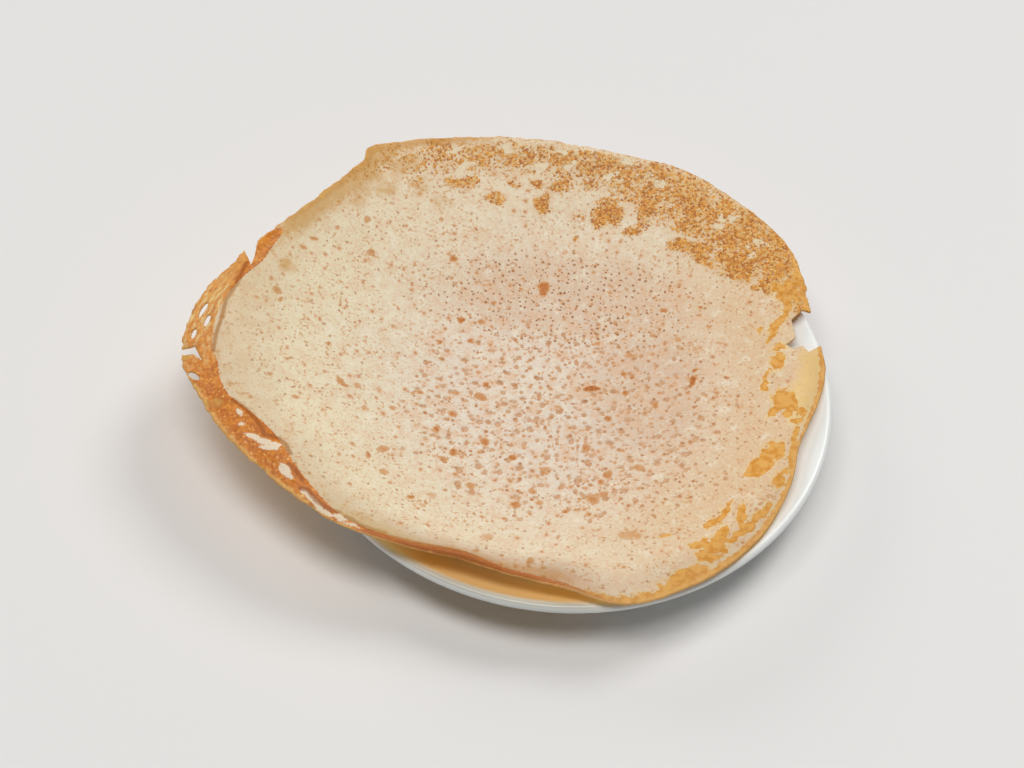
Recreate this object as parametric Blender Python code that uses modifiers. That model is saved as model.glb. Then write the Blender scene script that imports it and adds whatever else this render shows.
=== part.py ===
"""A hopper, the bowl-shaped rice pancake, served on its small white plate.

Metres, +Z up. The plate is turned. The hopper is a thin skewed bowl: thick and spongy in the
middle, lacy at the rim, turned down over its west edge, torn in three places and full of pits.
All plan positions are measured from the plate's axis, with the back of the serving at +Y.
"""

import math
import random

import bmesh
import bpy
from mathutils import Matrix, Vector, noise

MM = 0.001

# ---------------------------------------------------------------- driving dimensions: the plate
PLATE_RADIUS = 90 * MM
PLATE_HEIGHT = 20 * MM
WELL_RADIUS = 44 * MM
WELL_TOP = 8 * MM
PLATE_WALL = 3.4 * MM
COUPE_POWER = 1.72
RIM_START = 115
RIM_SWEEP = 160
FOOT_OUTER = 49 * MM
FOOT_INNER = 45 * MM
FOOT_HEIGHT = 3.4 * MM
PLATE_SIDES = 54
COUPE_STEPS = 6
RIM_STEPS = 4

# --------------------------------------------------------------- driving dimensions: the hopper
BASE_CENTRE = Vector((-2 * MM, -1 * MM))
RIM_CENTRE = Vector((-17 * MM, 6 * MM))
BASE_GAP = 0.3 * MM
BASE_THICKNESS = 6.7 * MM
RIM_THICKNESS = 1.2 * MM
FLAT_SHARE = 0.25
BOWL_POWER = 1.7
SKEW_POWER = 1.5
LIP_SLOPE = 0.5
CREST_ROUNDING = 1.0 * MM
CALM_SPAN = 24
CALM_POWER = 6
GRID_CELLS = 32

# Stations round the rim, anticlockwise from east: azimuth in degrees about the rim's centre,
# then reach, height of the edge and width of the turned-down lip in millimetres.
RIM_STATIONS = (
    (2, 104.5, 23, 0),
    (16, 104.5, 24, 0),
    (31, 109, 26, 0),
    (45, 106.5, 28, 0),
    (58, 104, 29.5, 0),
    (70, 98, 31, 0),
    (88, 95, 33, 0),
    (106, 95, 35, 0),
    (118, 97, 37, 0),
    (125, 98.5, 38, 0),
    (128, 93.5, 38.5, 0),
    (142, 89.5, 40.5, 0),
    (155, 91.5, 41, 1),
    (167, 98, 40.5, 5),
    (178, 106.5, 38.5, 9),
    (190, 110, 37, 10),
    (199, 106.5, 36, 7),
    (212, 100.5, 34.5, 9.5),
    (222, 96.5, 33.5, 6),
    (235, 93, 31.5, 2),
    (246, 89, 30, 2),
    (260, 85.5, 27, 4),
    (271, 88, 26, 2.5),
    (282, 93, 25, 1.5),
    (292, 102, 24, 0),
    (303, 104.5, 24, 0),
    (320, 104.5, 23, 0),
    (335, 101.5, 23, 0),
    (345, 99, 23, 0),
)

# Tears, as plan outlines in millimetres: the notch in the east rim and the slit beside the
# spike in the north-west rim.
NOTCH_OUTLINE = (
    (92, 38), (84, 35.5), (80.5, 36), (76.7, 31.7), (78, 24.5), (74.5, 21.7),
    (77, 19.7), (80.2, 21), (82.2, 18.2), (86.5, 21.4), (92, 23),
)
SLIT_OUTLINE = ((-112, 34), (-110, 30.5), (-107.4, 24.6), (-106.6, 29), (-106.6, 37), (-112, 42))
WEST_TEAR_OUTLINE = ((-130, -12.5), (-122.2, -12.3), (-118.4, -15.2), (-121.8, -9), (-130, -10.5))

# Holes through the lacy west lip: place, half length and half width in millimetres, and turn.
LACE_HOLES = (
    (-120.6, -20.7, 2.6, 1.1, -38),
    (-121.0, 6.0, 3.2, 0.9, 72),
    (-119.0, 1.0, 2.6, 0.9, 80),
    (-122.8, -4.0, 2.2, 0.8, 85),
)

# Pits in the spongy middle: scattered, none touching, the largest towards the front.
PIT_CENTRE = Vector((-2 * MM, -7 * MM))
PIT_COUNT = 150
PIT_FIELD = 48 * MM
PIT_RADIUS = (0.7 * MM, 1.65 * MM)
PIT_SPACING = 1.3 * MM
PIT_STRETCH = 1.22
PIT_DEPTH_SHARE = 0.75
PIT_SIDES = 6
PIT_RINGS = 4
PIT_SEED = 11

# Unevenness of the rim.
RAGGED_EDGE = 0.9 * MM
CRINKLE = 0.55 * MM
CRINKLE_SIZE = 9 * MM

CUT_LOW = -10 * MM
CUT_HIGH = 80 * MM


def clear_scene():
    for thing in list(bpy.data.objects):
        bpy.data.objects.remove(thing, do_unlink=True)


def new_collection(name):
    group = bpy.data.collections.new(name)
    bpy.context.scene.collection.children.link(group)
    return group


def new_object(name, mesh_builder, group):
    """An object whose mesh is what mesh_builder, a BMesh, holds."""
    mesh = bpy.data.meshes.new(name)
    mesh_builder.to_mesh(mesh)
    mesh_builder.free()
    thing = bpy.data.objects.new(name, mesh)
    group.objects.link(thing)
    return thing


def finish(thing, colour, roughness, sharp_angle):
    """Give a piece its own material and smooth shading with sharp creases."""
    material = bpy.data.materials.new(thing.name + "_finish")
    material.use_nodes = True
    shader = material.node_tree.nodes["Principled BSDF"]
    shader.inputs["Base Color"].default_value = (*colour, 1.0)
    shader.inputs["Roughness"].default_value = roughness
    shader.inputs["Metallic"].default_value = 0.0
    thing.data.materials.append(material)
    thing.data.shade_smooth()
    thing.data.set_sharp_from_angle(angle=math.radians(sharp_angle))


# --------------------------------------------------------------------------------- the plate
def rim_point(degrees):
    """A point of the round lip: 90 degrees is its top and 0 is its outermost point."""
    lip = PLATE_WALL / 2
    angle = math.radians(degrees)
    return PLATE_RADIUS - lip + lip * math.cos(angle), PLATE_HEIGHT - lip + lip * math.sin(angle)


def plate_profile():
    """Half section of the plate, from the middle of the well out, over the rim and down."""
    rim_radius, rim_height = rim_point(RIM_START)
    upper = []
    lower = []
    for step in range(COUPE_STEPS):
        share = step / COUPE_STEPS
        radius = WELL_RADIUS + (rim_radius - WELL_RADIUS) * share
        height = WELL_TOP + (rim_height - WELL_TOP) * share**COUPE_POWER
        upper.append((radius, height))
        lower.append((radius + PLATE_WALL * 0.35 * share, height - PLATE_WALL))
    rim = [rim_point(RIM_START - RIM_SWEEP * step / RIM_STEPS) for step in range(RIM_STEPS + 1)]
    under = [point for point in reversed(lower) if point[0] > FOOT_OUTER + 2 * MM]
    foot = [
        (FOOT_OUTER + 0.5 * MM, WELL_TOP - PLATE_WALL - 0.6 * MM),
        (FOOT_OUTER - 0.4 * MM, 0.5 * MM),
        (FOOT_OUTER - 1.0 * MM, 0.0),
        (FOOT_INNER + 0.6 * MM, 0.0),
        (FOOT_INNER, 0.5 * MM),
        (FOOT_INNER - 1.0 * MM, FOOT_HEIGHT),
    ]
    return [(0.0, WELL_TOP), (WELL_RADIUS / 2, WELL_TOP)] + upper + rim + under + foot + [(0.0, FOOT_HEIGHT)]


def make_plate(group):
    outline = bmesh.new()
    corners = [outline.verts.new((radius, 0.0, height)) for radius, height in plate_profile()]
    for first, second in zip(corners, corners[1:]):
        outline.edges.new((first, second))
    plate = new_object("plate", outline, group)
    turn = plate.modifiers.new("Turned", "SCREW")
    turn.axis = "Z"
    turn.angle = math.tau
    turn.steps = PLATE_SIDES
    turn.render_steps = PLATE_SIDES
    turn.use_merge_vertices = True
    turn.merge_threshold = 0.00001
    turn.use_smooth_shade = True
    return plate


# -------------------------------------------------------------------------------- the hopper
def station_curve(azimuth):
    """Reach, edge height and lip width at an azimuth in degrees, smooth through the stations."""
    count = len(RIM_STATIONS)
    azimuth = azimuth % 360.0
    after = next((i for i, row in enumerate(RIM_STATIONS) if row[0] > azimuth), count)
    rows = []
    for index in range(after - 2, after + 2):
        row = RIM_STATIONS[index % count]
        rows.append((row[0] + 360.0 * (index // count), *row[1:]))
    before, start, end, beyond = rows
    span = end[0] - start[0]
    t = (azimuth - start[0]) / span
    values = []
    for column in (1, 2, 3):
        leave = (end[column] - before[column]) / (end[0] - before[0]) * span
        arrive = (beyond[column] - start[column]) / (beyond[0] - start[0]) * span
        values.append(
            start[column] * (2 * t**3 - 3 * t**2 + 1)
            + leave * (t**3 - 2 * t**2 + t)
            + end[column] * (3 * t**2 - 2 * t**3)
            + arrive * (t**3 - t**2)
        )
    reach, height, lip = values
    return reach * MM, height * MM, max(0.0, lip) * MM


def rim_at(azimuth, share=1.0):
    """The same three values for a ring further in, where the rim's kinks have died away."""
    turns = (-2, -1, 0, 1, 2)
    around = [station_curve(azimuth + CALM_SPAN * turn) for turn in turns]
    calm = [sum(values) / len(turns) for values in zip(*around)]
    sharp = share**CALM_POWER
    return tuple(mean + (own - mean) * sharp for mean, own in zip(calm, around[2]))


def smooth_minimum(first, second, rounding):
    """The lesser of two heights, with the crease between them rounded over."""
    least = min(first, second)
    excess = math.exp((least - first) / rounding) + math.exp((least - second) / rounding)
    return least - rounding * math.log(excess)


def hopper_point(share, azimuth):
    """Top face of the hopper at a share of the way from its middle out to the rim."""
    reach, edge_height, lip = rim_at(azimuth, share)
    crest_share = 1.0 - lip / reach
    crest_height = edge_height + lip * LIP_SLOPE
    rise = max(0.0, share / crest_share - FLAT_SHARE) / (1.0 - FLAT_SHARE)
    base_top = WELL_TOP + BASE_GAP + BASE_THICKNESS
    wall = base_top + (crest_height - base_top) * rise**BOWL_POWER
    lip_face = edge_height + (1.0 - share) * reach * LIP_SLOPE
    height = smooth_minimum(wall, lip_face, CREST_ROUNDING)
    middle = BASE_CENTRE.lerp(RIM_CENTRE, share**SKEW_POWER)
    angle = math.radians(azimuth)
    at = Vector((middle.x + share * reach * math.cos(angle), middle.y + share * reach * math.sin(angle), height))
    towards_rim = max(0.0, share - 0.75) / 0.25
    at.z += CRINKLE * towards_rim * noise.noise(at / CRINKLE_SIZE)
    if share > 0.999:
        ragged = RAGGED_EDGE * noise.noise(at / (4 * MM))
        at.x += ragged * math.cos(angle)
        at.y += ragged * math.sin(angle)
    return at


def disc_from_square(x, y):
    """Share and azimuth of a point of the square from -1 to 1, wrapped evenly onto a disc."""
    if abs(x) >= abs(y):
        share = abs(x)
        turn = 45.0 * y / x if x else 0.0
        return share, turn + (180.0 if x < 0 else 0.0)
    share = abs(y)
    turn = 90.0 - 45.0 * x / y
    return share, turn + (180.0 if y < 0 else 0.0)


def thickness_share(share):
    """How much of the crumb's full thickness is left at a share of the way out."""
    t = min(1.0, max(0.0, (share - 0.3) / 0.62))
    return 1.0 - t * t * (3.0 - 2.0 * t)


def make_hopper(group):
    sheet = bmesh.new()
    bmesh.ops.create_grid(sheet, x_segments=GRID_CELLS, y_segments=GRID_CELLS, size=1.0)
    shares = []
    for corner in sheet.verts:
        share, azimuth = disc_from_square(corner.co.x, corner.co.y)
        shares.append(share)
        corner.co = hopper_point(share, azimuth)
    hopper = new_object("hopper", sheet, group)
    crumb = hopper.vertex_groups.new(name="crumb")
    for index, share in enumerate(shares):
        crumb.add([index], thickness_share(share), "REPLACE")
    shell = hopper.modifiers.new("Crumb", "SOLIDIFY")
    shell.thickness = BASE_THICKNESS
    shell.offset = -1.0
    shell.use_rim = True
    shell.vertex_group = crumb.name
    shell.thickness_vertex_group = RIM_THICKNESS / BASE_THICKNESS
    return hopper


def prism(builder, outline):
    """A closed upright prism over a plan outline in millimetres, added to a BMesh."""
    corners = [builder.verts.new((x * MM, y * MM, CUT_LOW)) for x, y in outline]
    floor = builder.faces.new(corners)
    lifted = bmesh.ops.extrude_face_region(builder, geom=[floor])
    top = [part for part in lifted["geom"] if isinstance(part, bmesh.types.BMVert)]
    bmesh.ops.translate(builder, verts=top, vec=(0.0, 0.0, CUT_HIGH - CUT_LOW))


def make_tears(group):
    """The notch, the slit and the lace holes, as one object that cuts straight through."""
    tears = bmesh.new()
    for outline in (NOTCH_OUTLINE, SLIT_OUTLINE, WEST_TEAR_OUTLINE):
        prism(tears, outline)
    for x, y, half_length, half_width, turn in LACE_HOLES:
        angle = math.radians(turn)
        outline = []
        for step in range(8):
            along = half_length * math.cos(math.tau * step / 8)
            across = half_width * math.sin(math.tau * step / 8)
            outline.append(
                (
                    x + along * math.cos(angle) - across * math.sin(angle),
                    y + along * math.sin(angle) + across * math.cos(angle),
                )
            )
        prism(tears, outline)
    bmesh.ops.recalc_face_normals(tears, faces=tears.faces)
    return new_object("tears", tears, group)


def pit_spots():
    """Place, radius and stretch of every pit, thrown like darts and kept where there is room."""
    dice = random.Random(PIT_SEED)
    smallest, largest = PIT_RADIUS
    spots = []
    while len(spots) < PIT_COUNT:
        distance = PIT_FIELD * math.sqrt(dice.random())
        angle = dice.uniform(0.0, math.tau)
        x = PIT_CENTRE.x + distance * math.cos(angle)
        y = PIT_CENTRE.y + distance * math.sin(angle)
        in_front = min(1.0, max(0.0, 0.55 - (y - PIT_CENTRE.y) / (1.5 * PIT_FIELD)))
        radius = smallest + (largest - smallest) * in_front * dice.uniform(0.35, 1.0)
        stretch = dice.uniform(1.0 / PIT_STRETCH, PIT_STRETCH)
        if all(
            math.hypot(x - spot[0], y - spot[1]) > (radius + spot[2]) * PIT_STRETCH + PIT_SPACING
            for spot in spots
        ):
            spots.append((x, y, radius, stretch))
    return spots


def height_over(x, y):
    """Height of the hopper's smooth top face over a plan point near its middle."""
    share = 0.3
    azimuth = 0.0
    for _ in range(12):
        middle = BASE_CENTRE.lerp(RIM_CENTRE, share**SKEW_POWER)
        azimuth = math.degrees(math.atan2(y - middle.y, x - middle.x))
        share = math.hypot(x - middle.x, y - middle.y) / rim_at(azimuth, share)[0]
    return hopper_point(share, azimuth).z


def make_pits(group):
    pits = bmesh.new()
    for x, y, radius, stretch in pit_spots():
        place = Matrix.Translation((x, y, height_over(x, y)))
        shape = Matrix.Diagonal((radius * stretch, radius / stretch, radius * PIT_DEPTH_SHARE, 1.0))
        bmesh.ops.create_uvsphere(
            pits, u_segments=PIT_SIDES, v_segments=PIT_RINGS, radius=1.0, matrix=place @ shape
        )
    return new_object("pits", pits, group)


def cut(piece, cutter):
    cutter.hide_render = True
    cutter.display_type = "WIRE"
    knife = piece.modifiers.new("Cut by " + cutter.name, "BOOLEAN")
    knife.operation = "DIFFERENCE"
    knife.object = cutter
    knife.solver = "EXACT"


def stand_on_origin(holder, pieces):
    """Move the holder so that the pieces' bounding box stands centred on the origin."""
    bpy.context.view_layer.update()
    graph = bpy.context.evaluated_depsgraph_get()
    corners = []
    for piece in pieces:
        solid = piece.evaluated_get(graph)
        corners.extend(solid.matrix_world @ Vector(corner) for corner in solid.bound_box)
    middle = [(min(c[i] for c in corners) + max(c[i] for c in corners)) / 2 for i in range(2)]
    lowest = min(corner.z for corner in corners)
    holder.location = (-middle[0], -middle[1], -lowest)


def main():
    clear_scene()
    serving = new_collection("plate_of_hoppers")
    cutters = new_collection("cutters")
    holder = bpy.data.objects.new("serving", None)
    serving.objects.link(holder)

    plate = make_plate(serving)
    hopper = make_hopper(serving)
    tears = make_tears(cutters)
    pits = make_pits(cutters)
    cut(hopper, tears)
    cut(hopper, pits)
    finish(plate, colour=(0.86, 0.86, 0.84), roughness=0.12, sharp_angle=60)
    finish(hopper, colour=(0.80, 0.62, 0.42), roughness=0.75, sharp_angle=40)
    for thing in (plate, hopper, tears, pits):
        thing.parent = holder
    stand_on_origin(holder, (plate, hopper))


main()
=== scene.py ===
# %% [markdown]
# # A hopper on its small white plate
#
# A hopper is a thin pancake of fermented rice batter, swirled round a small hot wok. The batter
# is thick and spongy in the middle, where it rose and left hundreds of burst bubbles, and it
# dries to a crisp brown lace where it was thinnest, round the rim. This one lies skewed on a
# small white plate and hangs well over its west side.
#
# The lesson builds two pieces round a finished model whose sizes are fixed: the plate and the
# hopper. Each step says first what the piece is, how it could be made, and why it is made so.

# %% Load the fixed frame
import math
import random

import bmesh
import bpy
import numpy as np
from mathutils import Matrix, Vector, noise


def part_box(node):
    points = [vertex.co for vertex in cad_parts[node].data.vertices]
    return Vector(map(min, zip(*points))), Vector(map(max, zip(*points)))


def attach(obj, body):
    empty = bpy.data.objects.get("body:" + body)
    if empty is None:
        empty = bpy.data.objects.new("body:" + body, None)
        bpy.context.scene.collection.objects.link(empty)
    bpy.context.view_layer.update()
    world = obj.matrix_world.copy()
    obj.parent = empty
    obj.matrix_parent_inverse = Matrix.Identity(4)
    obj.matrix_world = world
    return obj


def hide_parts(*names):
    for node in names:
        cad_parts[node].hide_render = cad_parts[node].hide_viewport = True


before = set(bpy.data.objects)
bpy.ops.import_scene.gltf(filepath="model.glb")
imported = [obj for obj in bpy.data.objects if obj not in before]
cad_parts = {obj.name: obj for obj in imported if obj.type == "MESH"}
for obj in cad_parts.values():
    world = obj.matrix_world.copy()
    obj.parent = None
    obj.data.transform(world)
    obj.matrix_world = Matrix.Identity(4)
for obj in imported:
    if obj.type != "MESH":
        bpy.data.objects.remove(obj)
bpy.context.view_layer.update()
plate_low, plate_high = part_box("plate")

MM = 0.001
PLATE_AXIS = (plate_low + plate_high) / 2
PLATE_AXIS.z = 0.0
print("nodes:", sorted(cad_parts), "plate axis:", [round(value, 4) for value in PLATE_AXIS])

# %% [markdown]
# ## Writing node trees as sums
#
# Materials and Geometry Nodes are both trees of nodes. They could be wired one link at a time,
# which hides the sum that they work out. Two small classes let a tree be written as an
# expression instead: a Wire is an output that understands plus, minus, times and divide, and a
# Bench adds any node at all through one method, with short forms for the commonest ones.


# %% A wire and a bench
class Wire:
    """A node's output, which can be used in sums."""

    def __init__(self, bench, socket):
        self.bench = bench
        self.socket = socket

    def also(self, name):
        """Another output of the same node."""
        return Wire(self.bench, self.socket.node.outputs[name])

    def __add__(self, other):
        return self.bench.maths("ADD", self, other)

    def __radd__(self, other):
        return self.bench.maths("ADD", other, self)

    def __sub__(self, other):
        return self.bench.maths("SUBTRACT", self, other)

    def __rsub__(self, other):
        return self.bench.maths("SUBTRACT", other, self)

    def __mul__(self, other):
        return self.bench.maths("MULTIPLY", self, other)

    def __rmul__(self, other):
        return self.bench.maths("MULTIPLY", other, self)

    def __truediv__(self, other):
        return self.bench.maths("DIVIDE", self, other)

    def __rtruediv__(self, other):
        return self.bench.maths("DIVIDE", other, self)

    def larger(self, other):
        return self.bench.maths("MAXIMUM", self, other)

    def rise(self, low, high):
        """0 below low, 1 above high, and a smooth rise between them."""
        return self.bench.node(
            "ShaderNodeMapRange",
            {"interpolation_type": "SMOOTHSTEP"},
            {"Value": self, "From Min": low, "From Max": high},
        )


class Bench:
    """A node tree, and the methods that add nodes to it."""

    def __init__(self, tree):
        self.tree = tree

    def node(self, kind, settings=None, feeds=None, output=0):
        """A node of any type: its settings, what feeds its inputs, and the output to use."""
        made = self.tree.nodes.new(kind)
        for name, value in (settings or {}).items():
            setattr(made, name, value)
        self.feed(made, feeds or {})
        return Wire(self, made.outputs[output])

    def feed(self, node, feeds):
        """Link wires to a node's inputs, and set the inputs that are given plain values."""
        for key, value in feeds.items():
            if isinstance(value, Wire):
                self.tree.links.new(value.socket, node.inputs[key])
            else:
                node.inputs[key].default_value = value

    def maths(self, operation, *values):
        return self.node("ShaderNodeMath", {"operation": operation}, dict(enumerate(values)))

    def vector(self, operation, *values, output=0):
        feeds = dict(enumerate(values))
        return self.node("ShaderNodeVectorMath", {"operation": operation}, feeds, output)

    def mix(self, share, first, second):
        """A colour that goes from first to second as the share goes from 0 to 1."""
        feeds = {0: share, 6: first, 7: second}
        return self.node("ShaderNodeMix", {"data_type": "RGBA"}, feeds, output=2)


def new_material(name):
    """A material with a node tree, and its Principled shader."""
    material = bpy.data.materials.new(name)
    material.use_nodes = True
    return material, material.node_tree.nodes["Principled BSDF"]


def paint(red, green, blue):
    """A linear colour from the 0 to 255 values that a paint chart gives."""
    light = []
    for value in (red, green, blue):
        share = value / 255
        light.append(share / 12.92 if share <= 0.04045 else ((share + 0.055) / 1.055) ** 2.4)
    return (*light, 1.0)


print("cream, in linear light:", [round(value, 3) for value in paint(225, 203, 171)[:3]])

# %% [markdown]
# ## Camera
#
# The picture was taken from in front and above, with a long lens, so the plate is a nearly true
# ellipse. A camera could be aimed with a Track To constraint, but a small roll is wanted too, so
# its three axes are worked out and set as a matrix.

# %% Camera
CAMERA_ELEVATION = 51.47
CAMERA_ROLL = 3.73
CAMERA_DISTANCE = 787.6 * MM
CAMERA_LENS = 80.0
CAMERA_SENSOR = 36.0
CAMERA_NEAREST = 0.05
CAMERA_FARTHEST = 20.0
CAMERA_AIM = PLATE_AXIS + Vector((-17.6, 14.0, 0)) * MM


def make_camera():
    up_angle = math.radians(CAMERA_ELEVATION)
    roll = math.radians(CAMERA_ROLL)
    forward = Vector((0, math.cos(up_angle), -math.sin(up_angle)))
    level = Vector((1, 0, 0))
    upright = level.cross(forward)
    right = math.cos(roll) * level + math.sin(roll) * upright
    up = math.cos(roll) * upright - math.sin(roll) * level
    data = bpy.data.cameras.new("camera")
    data.lens = CAMERA_LENS
    data.sensor_width = CAMERA_SENSOR
    data.clip_start = CAMERA_NEAREST
    data.clip_end = CAMERA_FARTHEST
    camera = bpy.data.objects.new("camera", data)
    bpy.context.scene.collection.objects.link(camera)
    turned = camera.matrix_world.copy()
    for axis, direction in enumerate((right, up, -forward)):
        turned.col[axis].xyz = direction
    turned.col[3].xyz = CAMERA_AIM - forward * CAMERA_DISTANCE
    camera.matrix_world = turned
    bpy.context.scene.camera = camera
    return camera


camera = make_camera()
print("camera stands at", [round(value, 3) for value in camera.matrix_world.translation])

# %% [markdown]
# ## Floor and light
#
# A pale bench top under soft studio light. Broad panels hang overhead and to the left, which
# keeps the shadow short and close, and two stand behind, so that some light comes through the
# thin rim towards the camera. An even, weak sky fills what they leave dark.

# %% Floor and light
FLOOR_SIZE = 6.0
FLOOR_COLOUR = paint(231, 230, 229)
FLOOR_ROUGHNESS = 0.55
SKY_COLOUR = (0.98, 0.99, 1.0, 1.0)
SKY_STRENGTH = 0.11
LAMP_COLOUR = (1.0, 0.99, 0.975)
LAMP_DISTANCE = 3.0
LAMP_SIZE = 1.2

# Each lamp: its name, azimuth from north towards east, elevation and power in watts.
LAMPS = (
    ("panel_overhead", 172, 80, 31.0),
    ("panel_left", 270, 72, 20.0),
    ("panel_behind_left", 315, 28, 16.3),
    ("panel_behind_right", 45, 50, 28.5),
)


def make_floor():
    bpy.ops.mesh.primitive_plane_add(size=FLOOR_SIZE)
    floor = bpy.context.object
    floor.name = "floor"
    material, shader = new_material("bench_top")
    feeds = {"Base Color": FLOOR_COLOUR, "Roughness": FLOOR_ROUGHNESS}
    Bench(material.node_tree).feed(shader, feeds)
    floor.data.materials.append(material)


def make_lamp(name, azimuth, elevation, power):
    data = bpy.data.lights.new(name, "AREA")
    data.shape = "DISK"
    data.size = LAMP_SIZE
    data.energy = power
    data.color = LAMP_COLOUR
    lamp = bpy.data.objects.new(name, data)
    bpy.context.scene.collection.objects.link(lamp)
    turn = math.radians(azimuth)
    rise = math.radians(elevation)
    out = Vector((math.sin(turn) * math.cos(rise), math.cos(turn) * math.cos(rise), math.sin(rise)))
    lamp.location = out * LAMP_DISTANCE
    lamp.rotation_mode = "QUATERNION"
    lamp.rotation_quaternion = out.to_track_quat("Z", "Y")
    return lamp


def make_sky():
    sky = bpy.data.worlds.new("sky")
    bpy.context.scene.world = sky
    sky.use_nodes = True
    background = sky.node_tree.nodes["Background"]
    Bench(sky.node_tree).feed(background, {"Color": SKY_COLOUR, "Strength": SKY_STRENGTH})


make_floor()
lamps = [make_lamp(*lamp) for lamp in LAMPS]
make_sky()
bpy.context.scene.view_settings.view_transform = "Standard"
print("lamps:", [lamp.name for lamp in lamps])

# %% [markdown]
# ## The plate
#
# A small coupe plate: turned white ware with a flat well, a wall that curves up to a rounded
# lip, and a foot ring. It could be a Screw modifier on its half section, as in the model. Here
# Geometry Nodes wrap a grid round the axis instead: each row of the grid is one copy of the
# section, turned a little further. The number of sides stays a named input.

# %% The plate's half section
PLATE_RADIUS = 90 * MM
PLATE_HEIGHT = 20 * MM
WELL_RADIUS = 44 * MM
WELL_TOP = 8 * MM
PLATE_WALL = 3.4 * MM
COUPE_POWER = 1.72
RIM_START = 115
RIM_SWEEP = 160
UNDERSIDE_SPREAD = 0.35
UNDERSIDE_START = 51 * MM
PLATE_SIDES = 288
COUPE_STEPS = 26
RIM_STEPS = 12
PLATE_CREASE = math.radians(50)
MERGE_WITHIN = 0.00001

# The foot ring from the outside in: radius and height in millimetres.
FOOT_OUTLINE = ((49.5, 4.0), (48.6, 0.5), (48.0, 0.0), (45.6, 0.0), (45.0, 0.5), (44.0, 3.4))


def rim_point(degrees):
    """A point of the round lip: 90 degrees is its top and 0 is its outermost point."""
    lip = PLATE_WALL / 2
    angle = math.radians(degrees)
    return PLATE_RADIUS - lip + lip * math.cos(angle), PLATE_HEIGHT - lip + lip * math.sin(angle)


def plate_section():
    """The half section, from the middle of the well out, over the rim and down to the foot."""
    rim_radius, rim_height = rim_point(RIM_START)
    upper = []
    lower = []
    for step in range(COUPE_STEPS):
        share = step / COUPE_STEPS
        radius = WELL_RADIUS + (rim_radius - WELL_RADIUS) * share
        height = WELL_TOP + (rim_height - WELL_TOP) * share**COUPE_POWER
        upper.append((radius, height))
        lower.append((radius + PLATE_WALL * UNDERSIDE_SPREAD * share, height - PLATE_WALL))
    rim = []
    for step in range(RIM_STEPS + 1):
        rim.append(rim_point(RIM_START - RIM_SWEEP * step / RIM_STEPS))
    under = [point for point in reversed(lower) if point[0] > UNDERSIDE_START]
    foot = [(radius * MM, height * MM) for radius, height in FOOT_OUTLINE]
    well = [(0.0, WELL_TOP), (WELL_RADIUS / 2, WELL_TOP)]
    return well + upper + rim + under + foot + [(0.0, foot[-1][1])]


section = plate_section()
print("the section has", len(section), "points")

# %% [markdown]
# The glaze is a clear glass skin over a white body. One glossy white would do, but a real glaze
# pools and thins, so its colour and its roughness drift a little from place to place. In front,
# under the hopper's edge, a golden glow is painted into the glaze's colour: painted light for the
# light that comes through the thin hopper, stopping short of the rim. The rim's crest beyond it
# gets painted shade.


# %% The plate's glaze
GOLDEN_MIDDLE = math.radians(257 - 360)
GOLDEN_TURNS = (0.24, 0.56)
GOLDEN_INNER = (70.0 * MM, 84.0 * MM)
GOLDEN_OUTER = (86.2 * MM, 88.6 * MM)
RIM_OUTSIDE = (89.0 * MM, 89.8 * MM)
# Painted light: a golden glow on the glaze in front, for the light that the thin hopper lets through, and
# painted shade on the rim's crest beyond it.
PAINTED_GOLDEN_LIGHT = paint(233, 186, 108)
PAINTED_RIM_SHADE = paint(188, 184, 168)
FRONT_STRENGTH = 0.9
RIM_OUTSIDE_CLEAN = 0.7
GLAZE_THICK = paint(249, 251, 250)
GLAZE_THIN = paint(243, 246, 243)
GLAZE_SHINE = {"IOR": 1.5, "Coat Weight": 0.15, "Coat Roughness": 0.16}
GLAZE_ROUGHNESS = 0.24
GLAZE_DRIFT = 0.10
DRIFT_GRAIN = {"Scale": 28, "Detail": 3}
RIPPLE_GRAIN = {"Scale": 90, "Detail": 2}
RIPPLE_HEIGHT = {"Strength": 0.05, "Distance": 0.0006}


def painted_light_zones(bench, place):
    """Painted golden light on the front of the plate's wall, and painted shade on the rim beyond it."""
    from_axis = bench.vector("SUBTRACT", place, tuple(PLATE_AXIS))
    east = bench.node("ShaderNodeSeparateXYZ", {}, {"Vector": from_axis}, "X")
    north = east.also("Y")
    radius = bench.maths("SQRT", east * east + north * north)
    away = bench.maths("ABSOLUTE", bench.maths("ARCTAN2", north, east) - GOLDEN_MIDDLE)
    in_front = 1 - away.rise(*GOLDEN_TURNS)
    past = radius.rise(*GOLDEN_OUTER)
    painted_shade = past * (1 - RIM_OUTSIDE_CLEAN * radius.rise(*RIM_OUTSIDE)) * in_front
    return radius.rise(*GOLDEN_INNER) * (1 - past) * in_front, painted_shade


def make_glaze():
    material, shader = new_material("white_glaze")
    bench = Bench(material.node_tree)
    place = bench.node("ShaderNodeTexCoord", output="Object")
    drift = bench.node("ShaderNodeTexNoise", {}, {"Vector": place, **DRIFT_GRAIN})
    ripple = bench.node("ShaderNodeTexNoise", {}, {"Vector": place, **RIPPLE_GRAIN})
    white = bench.mix(drift.rise(0.3, 0.7), GLAZE_THICK, GLAZE_THIN)
    golden, painted_shade = painted_light_zones(bench, place)
    # Painted golden light under the hopper's front edge, then painted shade on the rim's crest.
    tinted = bench.mix(golden * FRONT_STRENGTH, white, PAINTED_GOLDEN_LIGHT)
    tinted = bench.mix(painted_shade * FRONT_STRENGTH, tinted, PAINTED_RIM_SHADE)
    wave = bench.node("ShaderNodeBump", {}, {"Height": ripple, **RIPPLE_HEIGHT})
    rough = GLAZE_ROUGHNESS + GLAZE_DRIFT * drift
    bench.feed(shader, {"Base Color": tinted, "Roughness": rough, "Normal": wave, **GLAZE_SHINE})
    return material


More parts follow.
